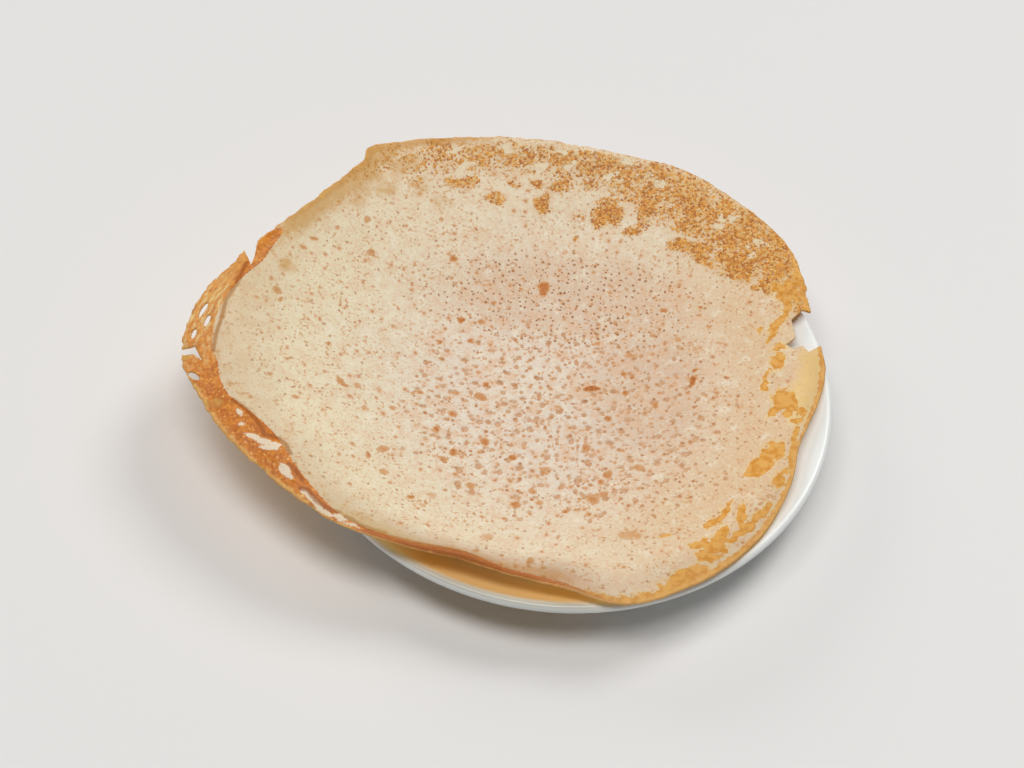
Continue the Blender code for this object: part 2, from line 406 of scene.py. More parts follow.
white_glaze = make_glaze()
print("glaze:", white_glaze.name, "with", len(white_glaze.node_tree.nodes), "nodes")

# %% [markdown]
# ### From modifier to plain mesh
#
# Every Geometry Nodes piece here goes the same way: the modifier's inputs are set by the
# socket's identifier, the tree runs once, and its result becomes a plain mesh that holds its own
# place. These helpers are shared by the plate and the hopper.


# %% Helpers for Geometry Nodes
def new_object(name, mesh):
    made = bpy.data.objects.new(name, mesh)
    bpy.context.scene.collection.objects.link(made)
    return made


def mesh_from(name, points, edges=(), faces=()):
    mesh = bpy.data.meshes.new(name)
    mesh.from_pydata([tuple(point) for point in points], list(edges), list(faces))
    mesh.update()
    return mesh


def new_tree(name, inputs):
    """A Geometry Nodes tree with named inputs, its bench, and a Wire for each input."""
    tree = bpy.data.node_groups.new(name, "GeometryNodeTree")
    tree.interface.new_socket("Geometry", in_out="INPUT", socket_type="NodeSocketGeometry")
    tree.interface.new_socket("Geometry", in_out="OUTPUT", socket_type="NodeSocketGeometry")
    for label, kind in inputs.items():
        tree.interface.new_socket(label, in_out="INPUT", socket_type="NodeSocket" + kind)
    bench = Bench(tree)
    geometry = bench.node("NodeGroupInput", output="Geometry")
    wires = {label: geometry.also(label) for label in inputs}
    return bench, geometry, wires


def end_tree(bench, geometry, material):
    whole = bench.node("GeometryNodeRealizeInstances", {}, {"Geometry": geometry})
    dressed = bench.node("GeometryNodeSetMaterial", {}, {"Geometry": whole, "Material": material})
    bench.feed(bench.tree.nodes.new("NodeGroupOutput"), {"Geometry": dressed})


def run_tree(thing, tree, values):
    """Run a tree on an object, keep its result as a plain mesh and drop the modifier."""
    modifier = thing.modifiers.new(tree.name, "NODES")
    modifier.node_group = tree
    inputs = [item for item in tree.interface.items_tree if item.in_out == "INPUT"]
    identifiers = {item.name: item.identifier for item in inputs}
    for label, value in values.items():
        modifier[identifiers[label]] = value
    graph = bpy.context.evaluated_depsgraph_get()
    result = bpy.data.meshes.new_from_object(thing.evaluated_get(graph))
    thing.modifiers.clear()
    thing.data = result
    result.name = thing.name
    return thing


print("helpers ready")

# %% [markdown]
# The tree reads the section's points by number. Point n of the grid takes section point n
# modulo the section's count, turned by the number of whole rows that came before it.


# %% Turn the plate
def make_wheel_tree():
    bench, section_in, wires = new_tree("Potters wheel", {"Sides": "Int", "Glaze": "Material"})
    feeds = {"Geometry": section_in}
    count = bench.node("GeometryNodeAttributeDomainSize", {"component": "MESH"}, feeds, "Point Count")
    feeds = {"Vertices X": wires["Sides"] + 1, "Vertices Y": count}
    sheet = bench.node("GeometryNodeMeshGrid", {}, feeds, "Mesh")
    number = bench.node("GeometryNodeInputIndex")
    row = bench.maths("FLOOR", (number + 0.5) / count)
    along = number - row * count
    place = bench.node("GeometryNodeInputPosition")
    feeds = {"Geometry": section_in, "Value": place, "Index": along}
    spot = bench.node("GeometryNodeSampleIndex", {"data_type": "FLOAT_VECTOR"}, feeds)
    feeds = {"Vector": spot, "Angle": row / wires["Sides"] * math.tau}
    turned = bench.node("ShaderNodeVectorRotate", {"rotation_type": "Z_AXIS"}, feeds)
    wrapped = bench.node("GeometryNodeSetPosition", {}, {"Geometry": sheet, "Position": turned})
    feeds = {"Geometry": wrapped, "Distance": MERGE_WITHIN}
    closed = bench.node("GeometryNodeMergeByDistance", {}, feeds)
    feeds = {"Geometry": closed, "Translation": tuple(PLATE_AXIS)}
    placed = bench.node("GeometryNodeTransform", {}, feeds)
    end_tree(bench, placed, wires["Glaze"])
    return bench.tree


def face_outwards(mesh):
    """Turn every face of a closed mesh to point out of it."""
    builder = bmesh.new()
    builder.from_mesh(mesh)
    bmesh.ops.recalc_face_normals(builder, faces=builder.faces)
    builder.to_mesh(mesh)
    builder.free()


def make_plate():
    points = [(radius, 0.0, height) for radius, height in section]
    chain = [(index, index + 1) for index in range(len(points) - 1)]
    plate = new_object("white_plate", mesh_from("white_plate", points, edges=chain))
    run_tree(plate, make_wheel_tree(), {"Sides": PLATE_SIDES, "Glaze": white_glaze})
    face_outwards(plate.data)
    plate.data.shade_smooth()
    plate.data.set_sharp_from_angle(angle=PLATE_CREASE)
    return plate


plate = make_plate()
print("plate:", len(plate.data.polygons), "faces")
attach(plate, "root")
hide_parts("plate")

# %% [markdown]
# ## The hopper's form
#
# The hopper is one thin sheet, so its top face is a height over the plate, and a rule can give
# it. From the middle out to the rim a point's share goes from 0 to 1. The rim is a smooth curve
# through a few stations that give its reach, its height and how wide its edge is turned down.
# The rings further in follow the same curve, but calmer, and slide over to the middle of the
# base, which is what skews the bowl.

# %% Sizes of the hopper
BASE_CENTRE = np.array((-2, -1)) * MM
RIM_CENTRE = np.array((-17, 6)) * MM
BASE_GAP = 0.3 * MM
BASE_THICKNESS = 6.7 * MM
RIM_THICKNESS = 0.8 * MM
FLAT_SHARE = 0.25
BOWL_POWER = 1.7
SKEW_POWER = 1.5
LIP_SLOPE = 0.5
CREST_ROUNDING = 1.0 * MM
CALM_SPAN = 24
CALM_POWER = 6

# Round the rim anticlockwise from east: azimuth in degrees about the rim's centre, then the
# reach, the height of the edge and the width of the turned-down lip in millimetres.
RIM_STATIONS = (
    (2, 104.5, 23, 0),
    (16, 104.5, 24, 0),
    (31, 109, 26, 0),
    (45, 106.5, 28, 0),
    (58, 104, 29.5, 0),
    (70, 98, 31, 0),
    (88, 95, 33, 0),
    (106, 95, 35, 0),
    (118, 97, 37, 0),
    (125, 98.5, 38, 0),
    (128, 93.5, 38.5, 0),
    (142, 89.5, 40.5, 0),
    (155, 91.5, 41, 1),
    (167, 98, 40.5, 5),
    (178, 106.5, 38.5, 9),
    (190, 110, 37, 10),
    (199, 106.5, 36, 7),
    (212, 100.5, 34.5, 9.5),
    (222, 96.5, 33.5, 6),
    (235, 93, 31.5, 2),
    (246, 89, 30, 2),
    (260, 85.5, 27, 4),
    (271, 88, 26, 2.5),
    (282, 93, 25, 1.5),
    (292, 102, 24, 0),
    (303, 104.5, 24, 0),
    (320, 104.5, 23, 0),
    (335, 101.5, 23, 0),
    (345, 99, 23, 0),
)
print(len(RIM_STATIONS), "stations round the rim")


# %% The rule for the top face
def station_curve(azimuth):
    """Reach, edge height and lip width at many azimuths in degrees, smooth through the stations."""
    table = np.array(RIM_STATIONS, float)
    ahead = table[:2] + (360, 0, 0, 0)
    behind = table[-2:] - (360, 0, 0, 0)
    table = np.concatenate([behind, table, ahead])
    azimuth = np.asarray(azimuth, float) % 360
    start = np.clip(np.searchsorted(table[:, 0], azimuth, side="right") - 1, 1, len(table) - 3)
    angles = [table[start + step, 0] for step in (-1, 0, 1, 2)]
    values = [table[start + step, 1:] for step in (-1, 0, 1, 2)]
    span = angles[2] - angles[1]
    t = ((azimuth - angles[1]) / span)[..., None]
    leave = (values[2] - values[0]) * (span / (angles[2] - angles[0]))[..., None]
    arrive = (values[3] - values[1]) * (span / (angles[3] - angles[1]))[..., None]
    curve = values[1] * (2 * t**3 - 3 * t**2 + 1) + leave * (t**3 - 2 * t**2 + t)
    curve = curve + values[2] * (3 * t**2 - 2 * t**3) + arrive * (t**3 - t**2)
    curve[..., 2] = np.maximum(curve[..., 2], 0)
    return curve * MM


def rim_at(share, azimuth):
    """The same three values for a ring further in, where the rim's kinks have died away."""
    around = [station_curve(azimuth + CALM_SPAN * turn) for turn in (-2, -1, 0, 1, 2)]
    calm = sum(around) / len(around)
    values = calm + (around[2] - calm) * (share**CALM_POWER)[..., None]
    return values[..., 0], values[..., 1], values[..., 2]


def hopper_height(share, azimuth):
    """Height of the plain top face, without its crinkles."""
    reach, edge_height, lip = rim_at(share, azimuth)
    crest_share = 1 - lip / reach
    crest_height = edge_height + lip * LIP_SLOPE
    rise = np.maximum(0, share / crest_share - FLAT_SHARE) / (1 - FLAT_SHARE)
    base_top = WELL_TOP + BASE_GAP + BASE_THICKNESS
    wall = base_top + (crest_height - base_top) * rise**BOWL_POWER
    lip_face = edge_height + (1 - share) * reach * LIP_SLOPE
    least = np.minimum(wall, lip_face)
    excess = np.exp((least - wall) / CREST_ROUNDING) + np.exp((least - lip_face) / CREST_ROUNDING)
    return least - CREST_ROUNDING * np.log(excess)


def ring_middle(share):
    return BASE_CENTRE + (RIM_CENTRE - BASE_CENTRE) * (share**SKEW_POWER)[..., None]


def noise_at(points, size):
    """Blender's own smooth noise, about -1 to 1, read at many points with grains of a size."""
    return np.array([noise.noise(Vector(point)) for point in points / size])


def ramp(values, low, high):
    """0 below low, 1 above high, and a straight rise between them."""
    return np.clip((values - low) / (high - low), 0, 1)


def smooth_step(values, low, high):
    """0 below low, 1 above high, and a smooth rise between them."""
    t = ramp(values, low, high)
    return t * t * (3 - 2 * t)


middle_height = hopper_height(np.zeros(1), np.zeros(1))[0]
print("height in the middle:", round(middle_height / MM, 2), "mm")

# %% [markdown]
# ### A fine sheet
#
# A round sheet could be a fan of rings, but a fan crowds its faces in the middle. A square grid
# wrapped onto a disc, ring for ring, keeps them even. The rings are drawn together in the
# middle, where the pits are, and at the rim, where the lace is, and the columns are drawn
# together on the west side, where the turned-down edge has the most to show.

# %% Grain of the sheet
TOP_CELLS = 268
UNDER_CELLS = TOP_CELLS // 2
RING_CROWDING = 0.36
WEST_CROWDING = 0.22
CRINKLE = 0.55 * MM
CRINKLE_SIZE = 9 * MM
FINE_CRINKLE = 0.16 * MM
FINE_CRINKLE_SIZE = 2.6 * MM
SWELL = 0.5 * MM
SWELL_SIZE = 21 * MM
WIDE_JAG = 0.6
WIDE_JAG_SIZE = 4 * MM
FINE_JAG = 0.5
FINE_JAG_SIZE = 1.4 * MM
NOSE_SHARE = 0.35

# Shares of the way out: where each begins and where it is complete.
CRINKLED = (0.75, 1.0)
SWOLLEN = (0.3, 0.6)
THINNING = (0.3, 0.92)
RAGGED = (0.965, 1.0)

# How ragged the edge is, round the rim: azimuth in degrees, then millimetres.
RAGGED_EDGE = (
    (0, 0.3), (20, 0.9), (32, 0.4), (70, 0.5), (115, 0.55), (125, 0.4), (138, 0.9), (150, 1.3),
    (165, 1.3), (200, 1.1), (215, 0.7), (235, 0.4), (250, 0.2), (300, 0.3), (345, 0.3), (360, 0.3),
)


def disc_grid(cells):
    """Share and azimuth of each corner of a square grid that is wrapped onto a disc."""
    line = np.linspace(-1, 1, cells + 1)
    x, y = (part.ravel() for part in np.meshgrid(line, line, indexing="ij"))
    ring = np.maximum(abs(x), abs(y))
    flat_x = np.where(x == 0, 1, x)
    flat_y = np.where(y == 0, 1, y)
    sideways = 45 * y / flat_x + 180 * (x < 0)
    upward = 90 - 45 * x / flat_y + 180 * (y < 0)
    azimuth = np.where(abs(x) >= abs(y), sideways, upward)
    share = ring - RING_CROWDING * np.sin(math.tau * ring) / math.tau
    azimuth = azimuth + np.degrees(WEST_CROWDING * np.sin(np.radians(azimuth)))
    return share, azimuth


def top_face(share, azimuth):
    """Points of the top face, crinkled towards the rim and ragged at its edge."""
    reach = rim_at(share, azimuth)[0]
    angle = np.radians(azimuth)
    outward = np.stack([np.cos(angle), np.sin(angle)], axis=-1)
    plan = ring_middle(share) + (share * reach)[..., None] * outward
    points = np.column_stack([plan, hopper_height(share, azimuth)])
    towards_rim = ramp(share, *CRINKLED)
    walls = ramp(share, *SWOLLEN)
    lift = CRINKLE * towards_rim * noise_at(points, CRINKLE_SIZE)
    lift = lift + FINE_CRINKLE * towards_rim * noise_at(points, FINE_CRINKLE_SIZE)
    lift = lift + SWELL * walls * (1 - towards_rim) * noise_at(points, SWELL_SIZE)
    degrees, amount = np.array(RAGGED_EDGE).T
    ragged = np.interp(azimuth % 360, degrees, amount) * MM
    at_edge = ramp(share, *RAGGED) ** 2
    jag = WIDE_JAG * noise_at(points, WIDE_JAG_SIZE) + FINE_JAG * noise_at(points + 0.5, FINE_JAG_SIZE)
    points[:, 2] += lift
    points[:, :2] += (at_edge * ragged * jag)[:, None] * outward
    return points


top_share, top_azimuth = disc_grid(TOP_CELLS)
top_points = top_face(top_share, top_azimuth)
print("top face:", len(top_points), "points, rim up to", round(top_points[:, 2].max() / MM, 1), "mm")

# %% [markdown]
# The underside follows the top face at a depth that thins from the spongy middle out to the
# rim. Solidify could make it, but it would double the grid, and the hidden side needs only half
# as many cells. A narrow strip with a rounded nose joins the two edges.


# %% Close the sheet
def grid_faces(cells, start, upwards):
    corner = np.arange(cells * (cells + 1)).reshape(cells, cells + 1)[:, :-1].ravel() + start
    step = cells + 1
    faces = np.stack([corner, corner + step, corner + step + 1, corner + 1], axis=-1)
    return faces if upwards else faces[:, ::-1]


def grid_edge(cells, start):
    """Corners round the grid's border, anticlockwise from the south-west one."""
    grid = np.arange((cells + 1) ** 2).reshape(cells + 1, cells + 1) + start
    sides = (grid[:-1, 0], grid[-1, :-1], grid[:0:-1, -1], grid[0, :0:-1])
    return np.concatenate(sides)


def thickness_at(share):
    return RIM_THICKNESS + (BASE_THICKNESS - RIM_THICKNESS) * (1 - smooth_step(share, *THINNING))


def make_sheet():
    probe = mesh_from("probe", top_points, faces=grid_faces(TOP_CELLS, 0, True).tolist())
    normals = np.zeros(len(top_points) * 3)
    probe.vertices.foreach_get("normal", normals)
    bpy.data.meshes.remove(probe)
    depth = top_points - normals.reshape(-1, 3) * thickness_at(top_share)[:, None]
    every_other = np.arange((TOP_CELLS + 1) ** 2).reshape(TOP_CELLS + 1, -1)[::2, ::2].ravel()
    under_points = depth[every_other]
    rim = grid_edge(TOP_CELLS, 0)
    angle = np.radians(top_azimuth[rim])
    nose = (top_points[rim] + depth[rim]) / 2
    nose[:, :2] += NOSE_SHARE * RIM_THICKNESS * np.stack([np.cos(angle), np.sin(angle)], axis=-1)
    first_under = len(top_points)
    first_nose = first_under + len(under_points)
    below = grid_edge(UNDER_CELLS, first_under)
    faces = grid_faces(TOP_CELLS, 0, True).tolist()
    faces = faces + grid_faces(UNDER_CELLS, first_under, False).tolist()
    count = len(rim)
    for index in range(count):
        after = (index + 1) % count
        faces.append((rim[index], first_nose + index, first_nose + after, rim[after]))
    for index in range(0, count, 2):
        middle = index + 1
        after = (index + 2) % count
        here = below[index // 2]
        there = below[(index // 2 + 1) % len(below)]
        faces.append((here, there, first_nose + middle))
        faces.append((here, first_nose + middle, first_nose + index))
        faces.append((there, first_nose + after, first_nose + middle))
    points = np.concatenate([top_points, under_points, nose]) + np.array(PLATE_AXIS)
    return new_object("hopper_crumb", mesh_from("hopper_crumb", points, faces=faces))


hopper = make_sheet()
print("sheet:", len(hopper.data.polygons), "faces")

# %% [markdown]
# ## Tears and lace
#
# The rim is torn in three places, and the turned-down west edge is lace: thin batter that
# spat and left holes. Each tear is an upright prism over an outline in plan, and one Boolean
# cuts them all. Long straight cuts would look like scissors, so each tear's outline is first
# broken into short steps and shaken a little.

# %% Outlines of the tears
NOTCH_OUTLINE = (
    (92, 38), (84, 35.5), (80.5, 36), (76.7, 31.7), (78, 24.5), (74.5, 21.7),
    (77, 19.7), (80.2, 21), (82.2, 18.2), (86.5, 21.4), (92, 23),
)
SLIT_OUTLINE = ((-112, 34), (-110, 30.5), (-107.4, 24.6), (-106.6, 29), (-106.6, 37), (-112, 42))
WEST_TEAR_OUTLINE = ((-130, -12.5), (-122.2, -12.3), (-118.4, -15.2), (-121.8, -9), (-130, -10.5))

# Holes through the west lip: place, half length and half width in millimetres, and turn.
LACE_HOLES = (
    (-120.6, -20.7, 2.6, 1.1, -38),
    (-121.0, 6.0, 3.2, 0.9, 72),
    (-119.0, 1.0, 2.6, 0.9, 80),
    (-122.8, -4.0, 2.2, 0.8, 85),
)
TEAR_STEP = 0.9
TEAR_SHAKE = 0.28
TEAR_GRAIN = 1.3
HOLE_SIDES = 14
CUT_LOW = -10 * MM
CUT_HIGH = 80 * MM


def shaken(outline):
    """An outline in millimetres, cut into short steps and shaken sideways."""
    points = []
    for start, end in zip(outline, outline[1:] + outline[:1]):
        pieces = max(1, round(math.dist(start, end) / TEAR_STEP))
        for piece in range(pieces):
            x = start[0] + (end[0] - start[0]) * piece / pieces
            y = start[1] + (end[1] - start[1]) * piece / pieces
            spot = Vector((x, y, 0)) / TEAR_GRAIN
            east = TEAR_SHAKE * noise.noise(spot)
            north = TEAR_SHAKE * noise.noise(spot + Vector((9, 9, 9)))
            points.append((x + east, y + north))
    return points


def hole_outline(x, y, half_length, half_width, turn):
    angle = math.radians(turn)
    points = []
    for step in range(HOLE_SIDES):
        way = math.tau * step / HOLE_SIDES
        along = half_length * math.cos(way)
        across = half_width * math.sin(way)
        east = along * math.cos(angle) - across * math.sin(angle)
        north = along * math.sin(angle) + across * math.cos(angle)
        points.append((x + east, y + north))
    return points


def make_cutter():
    outlines = [shaken(outline) for outline in (NOTCH_OUTLINE, SLIT_OUTLINE, WEST_TEAR_OUTLINE)]
    outlines = outlines + [hole_outline(*hole) for hole in LACE_HOLES]
    points = []
    faces = []
    for outline in outlines:
        first = len(points)
        count = len(outline)
        for height in (CUT_LOW, CUT_HIGH):
            points.extend((x * MM + PLATE_AXIS.x, y * MM + PLATE_AXIS.y, height) for x, y in outline)
        faces.append(tuple(range(first + count - 1, first - 1, -1)))
        faces.append(tuple(range(first + count, first + 2 * count)))
        for index in range(count):
            after = (index + 1) % count
            faces.append((first + index, first + after, first + count + after, first + count + index))
    cutter = new_object("tears", mesh_from("tears", points, faces=faces))
    face_outwards(cutter.data)
    return cutter


def cut_tears(thing):
    cutter = make_cutter()
    knife = thing.modifiers.new("Tears", "BOOLEAN")
    knife.operation = "DIFFERENCE"
    knife.solver = "MANIFOLD"
    knife.object = cutter
    graph = bpy.context.evaluated_depsgraph_get()
    thing.data = bpy.data.meshes.new_from_object(thing.evaluated_get(graph))
    thing.modifiers.clear()
    bpy.data.objects.remove(cutter)


cut_tears(hopper)
print("torn sheet:", len(hopper.data.polygons), "faces")

# %% [markdown]
# ## Where the hopper is baked
#
# Colour follows heat. The crust browned where the batter was thin, in a speckled belt round the
# north-east, in smooth golden patches round the east, and deepest of all in the turned-down
# west lip. Painting a picture would fix the colours to one photograph, so the places are
# written down instead, as soft ovals in plan, and stored on the mesh as numbers that the
# material turns into colour.

# %% Brown, golden and pale places
# Each oval: place, half length and half width in millimetres, its turn in degrees, and how
# strong it is. Brown ones are speckled crust, golden ones smooth, film ones thin and clear, pale
# ones bare flakes within the crust and olive ones mustard clouds. Marks are single scorched spots,
# and windows are pale gaps in the west lip.
BROWN_OVALS = (
    (12.5, 75.7, 5.7, 5.0, 3, 1), (9.8, 72.0, 3.2, 2.3, -19, 1), (1.6, 73.1, 2.1, 0.9, 5, 0.9),
    (21.2, 68.7, 2.8, 1.6, 12, 1), (23.9, 72.7, 3.1, 1.1, -87, 0.8), (25.9, 78.3, 5.8, 3.2, 83, 1),
    (26.2, 83.9, 3.6, 3.5, 2, 0.9), (-11.5, 76.2, 3.2, 3.0, 6, 1), (-10.5, 79.3, 3.5, 2.2, 84, 0.9),
    (1.5, 65.6, 1.2, 1.0, -88, 0.9), (38.3, 64.2, 4.5, 2.4, -10, 1), (43.1, 62.4, 5.7, 2.8, -14, 0.95),
    (45.9, 58.8, 2.3, 2.2, -40, 0.95), (48.1, 56.6, 2.3, 1.5, -40, 0.8), (53.8, 57.9, 4.3, 2.8, -29, 1),
    (58.5, 56.7, 6.9, 5.3, -2, 1), (60.0, 52.4, 4.2, 3.3, -13, 1), (56.1, 53.4, 3.8, 1.9, -41, 0.9),
    (69.5, 58.1, 4.0, 3.2, -64, 1), (71.6, 52.2, 6.6, 3.1, -82, 0.95), (69.1, 46.7, 3.4, 3.3, 0, 0.9),
    (64.4, 45.7, 1.8, 1.6, -37, 0.9), (61.0, 48.2, 1.7, 1.0, -90, 0.8), (65.1, 50.6, 1.0, 0.8, 89, 0.8),
    (65.1, 46.4, 1.0, 0.8, 87, 0.8), (-6.6, 84.3, 4.7, 2.6, 22, 0.8), (-3.1, 87.0, 3.2, 2.3, 5, 0.75),
    (5.2, 85.6, 4.4, 2.3, 4, 0.7), (6.6, 93.3, 4.9, 2.5, 3, 0.75), (16.0, 91.2, 6.5, 2.9, -2, 0.8),
    (-5.4, 89.8, 3.7, 1.8, 7, 0.7), (-13.6, 84.7, 2.9, 1.6, 8, 0.8), (-21.1, 83.5, 2.8, 1.5, 8, 0.6),
    (35.1, 76.5, 2.8, 2.5, -88, 0.85), (41.5, 70.6, 5.7, 3.1, -12, 0.85),
    (39.3, 72.9, 4.2, 2.4, 0, 0.85), (40.6, 81.8, 3.6, 3.1, -85, 0.9),
    (36.3, 87.6, 4.4, 3.1, -20, 0.85), (44.6, 85.7, 4.5, 3.9, 36, 0.8),
    (47.7, 77.6, 4.8, 3.6, -62, 0.85), (53.4, 79.2, 4.9, 2.8, -43, 0.9),
    (55.5, 75.6, 2.5, 2.1, -88, 0.9), (62.0, 72.8, 4.6, 3.2, -50, 0.85),
    (60.4, 67.6, 3.5, 2.4, -12, 0.8), (67.3, 68.9, 3.8, 2.8, -50, 0.8),
    (55.9, 70.4, 2.8, 2.1, -88, 0.8), (-39.6, 80.5, 4.7, 2.6, 21, 0.85),
    (-44.1, 80.5, 2.5, 1.6, 13, 0.7), (-27.5, 76.6, 3.3, 2.6, 20, 0.75),
    (-48.8, 94.2, 5.1, 1.8, 18, 0.75), (-34.5, 95.3, 4.9, 1.9, 14, 0.65),
    (-53.5, 85.0, 3.5, 2.2, 13, 0.5), (-56.4, 77.1, 3.2, 2.2, 12, 0.45),
    (-25.6, 91.5, 3.0, 2.2, 8, 0.5), (-31.1, 88.8, 3.2, 1.9, 10, 0.6), (-44.0, 88.2, 2.8, 1.5, 11, 0.5),
)
GOLDEN_OVALS = (
    (73.9, 42.8, 5.2, 3.0, -62, 0.9), (76.3, 46.8, 3.8, 3.2, 88, 0.8), (79.7, 41.5, 3.1, 2.6, -32, 0.9),
    (81.8, 38.9, 2.5, 1.6, -67, 0.9), (74.8, 37.2, 2.9, 1.6, 35, 0.8), (72.3, 31.1, 5.4, 1.4, 57, 1),
    (69.6, 25.0, 2.7, 1.0, 63, 1), (66.0, 28.1, 1.4, 1.2, 89, 0.9), (71.5, 14.0, 3.2, 2.1, 73, 1),
    (67.4, 5.4, 3.3, 1.0, 83, 1), (72.6, 20.6, 3.8, 1.6, 23, 0.9), (74.2, -2.0, 4.7, 3.7, -40, 1),
    (70.2, -6.1, 3.5, 1.6, 40, 1), (75.3, -7.0, 3.0, 1.6, 88, 0.95), (77.8, -11.0, 2.2, 1.6, 88, 0.9),
    (79.9, -7.2, 2.3, 1.9, 88, 0.9), (69.4, -24.1, 4.1, 3.3, 56, 1), (65.6, -29.0, 5.4, 2.6, 54, 1),
    (62.7, -32.8, 2.2, 1.2, 37, 1), (72.4, -22.3, 2.7, 1.3, 82, 0.9),
    (70.9, -36.8, 3.6, 2.0, -75, 0.95), (72.7, -33.0, 3.0, 1.2, 49, 0.9),
    (75.9, -26.1, 9.0, 1.1, 77, 0.9), (77.0, -17.6, 4.3, 1.3, 73, 0.8), (52.5, -49.9, 5.8, 1.1, 59, 1),
    (48.8, -54.6, 3.1, 1.4, 58, 1), (59.2, -49.8, 4.3, 1.3, 82, 1), (52.6, -58.8, 4.3, 1.6, 78, 1),
    (50.3, -63.7, 3.2, 2.8, -69, 1), (47.8, -68.2, 3.8, 2.4, 30, 0.95), (44.6, -63.8, 3.2, 1.6, 41, 1),
    (56.7, -59.0, 5.7, 1.2, 57, 0.95), (61.8, -54.2, 5.2, 1.4, 54, 0.95),
    (65.9, -48.6, 3.3, 1.7, 70, 0.95), (40.2, -76.9, 6.5, 2.8, 19, 1),
    (36.3, -79.6, 4.8, 1.9, 19, 0.95), (45.2, -74.5, 3.4, 1.4, 28, 0.9),
    (33.8, -59.9, 2.9, 1.0, 16, 0.9), (-106.3, 36.2, 4.0, 0.7, 64, 0.95),
    (-103.5, 40.1, 2.1, 0.5, 52, 0.8),
)
FILM_OVALS = (
    (83.0, 9.7, 12.8, 4.3, 86, 1), (80.9, 1.1, 8.5, 4.9, 81, 0.9), (78.6, -8.8, 5.0, 3.1, 73, 0.8),
)
PALE_OVALS = (
    (-39.3, 86.5, 5.4, 1.5, 36, 1), (-42.5, 92.0, 3.1, 1.0, 31, 0.9), (-12.6, 91.0, 2.9, 1.6, 7, 1),
    (-24.7, 96.1, 2.2, 1.5, 8, 0.8), (-5.8, 96.6, 2.1, 1.3, 3, 0.9), (-1.7, 92.9, 3.2, 1.2, 20, 0.8),
    (18.9, 95.3, 2.9, 1.2, 5, 0.8), (12.8, 90.5, 3.2, 1.5, 13, 0.9), (30.3, 87.3, 2.1, 1.9, 2, 0.9),
    (26.0, 90.2, 2.2, 1.1, 2, 0.7), (50.8, 79.6, 2.5, 1.6, -23, 0.8), (51.3, 72.4, 3.1, 2.2, 72, 0.8),
    (56.9, 74.1, 2.5, 1.6, -11, 0.8), (63.4, 58.9, 2.4, 1.4, 64, 0.9), (66.9, 64.5, 3.5, 1.6, -17, 0.8),
    (62.7, 63.0, 3.5, 2.1, -13, 0.6),
)
OLIVE_OVALS = (
    (-75, 66, 7, 3.5, 70, 0.6), (-66, 72, 6, 4, 60, 0.6), (-55, 75, 5, 3, 20, 0.55),
    (-96, 30, 3, 2.2, 60, 0.6), (-46, 72, 4, 2.5, 10, 0.5), (-62, 82, 8, 4, 30, 0.6),
)
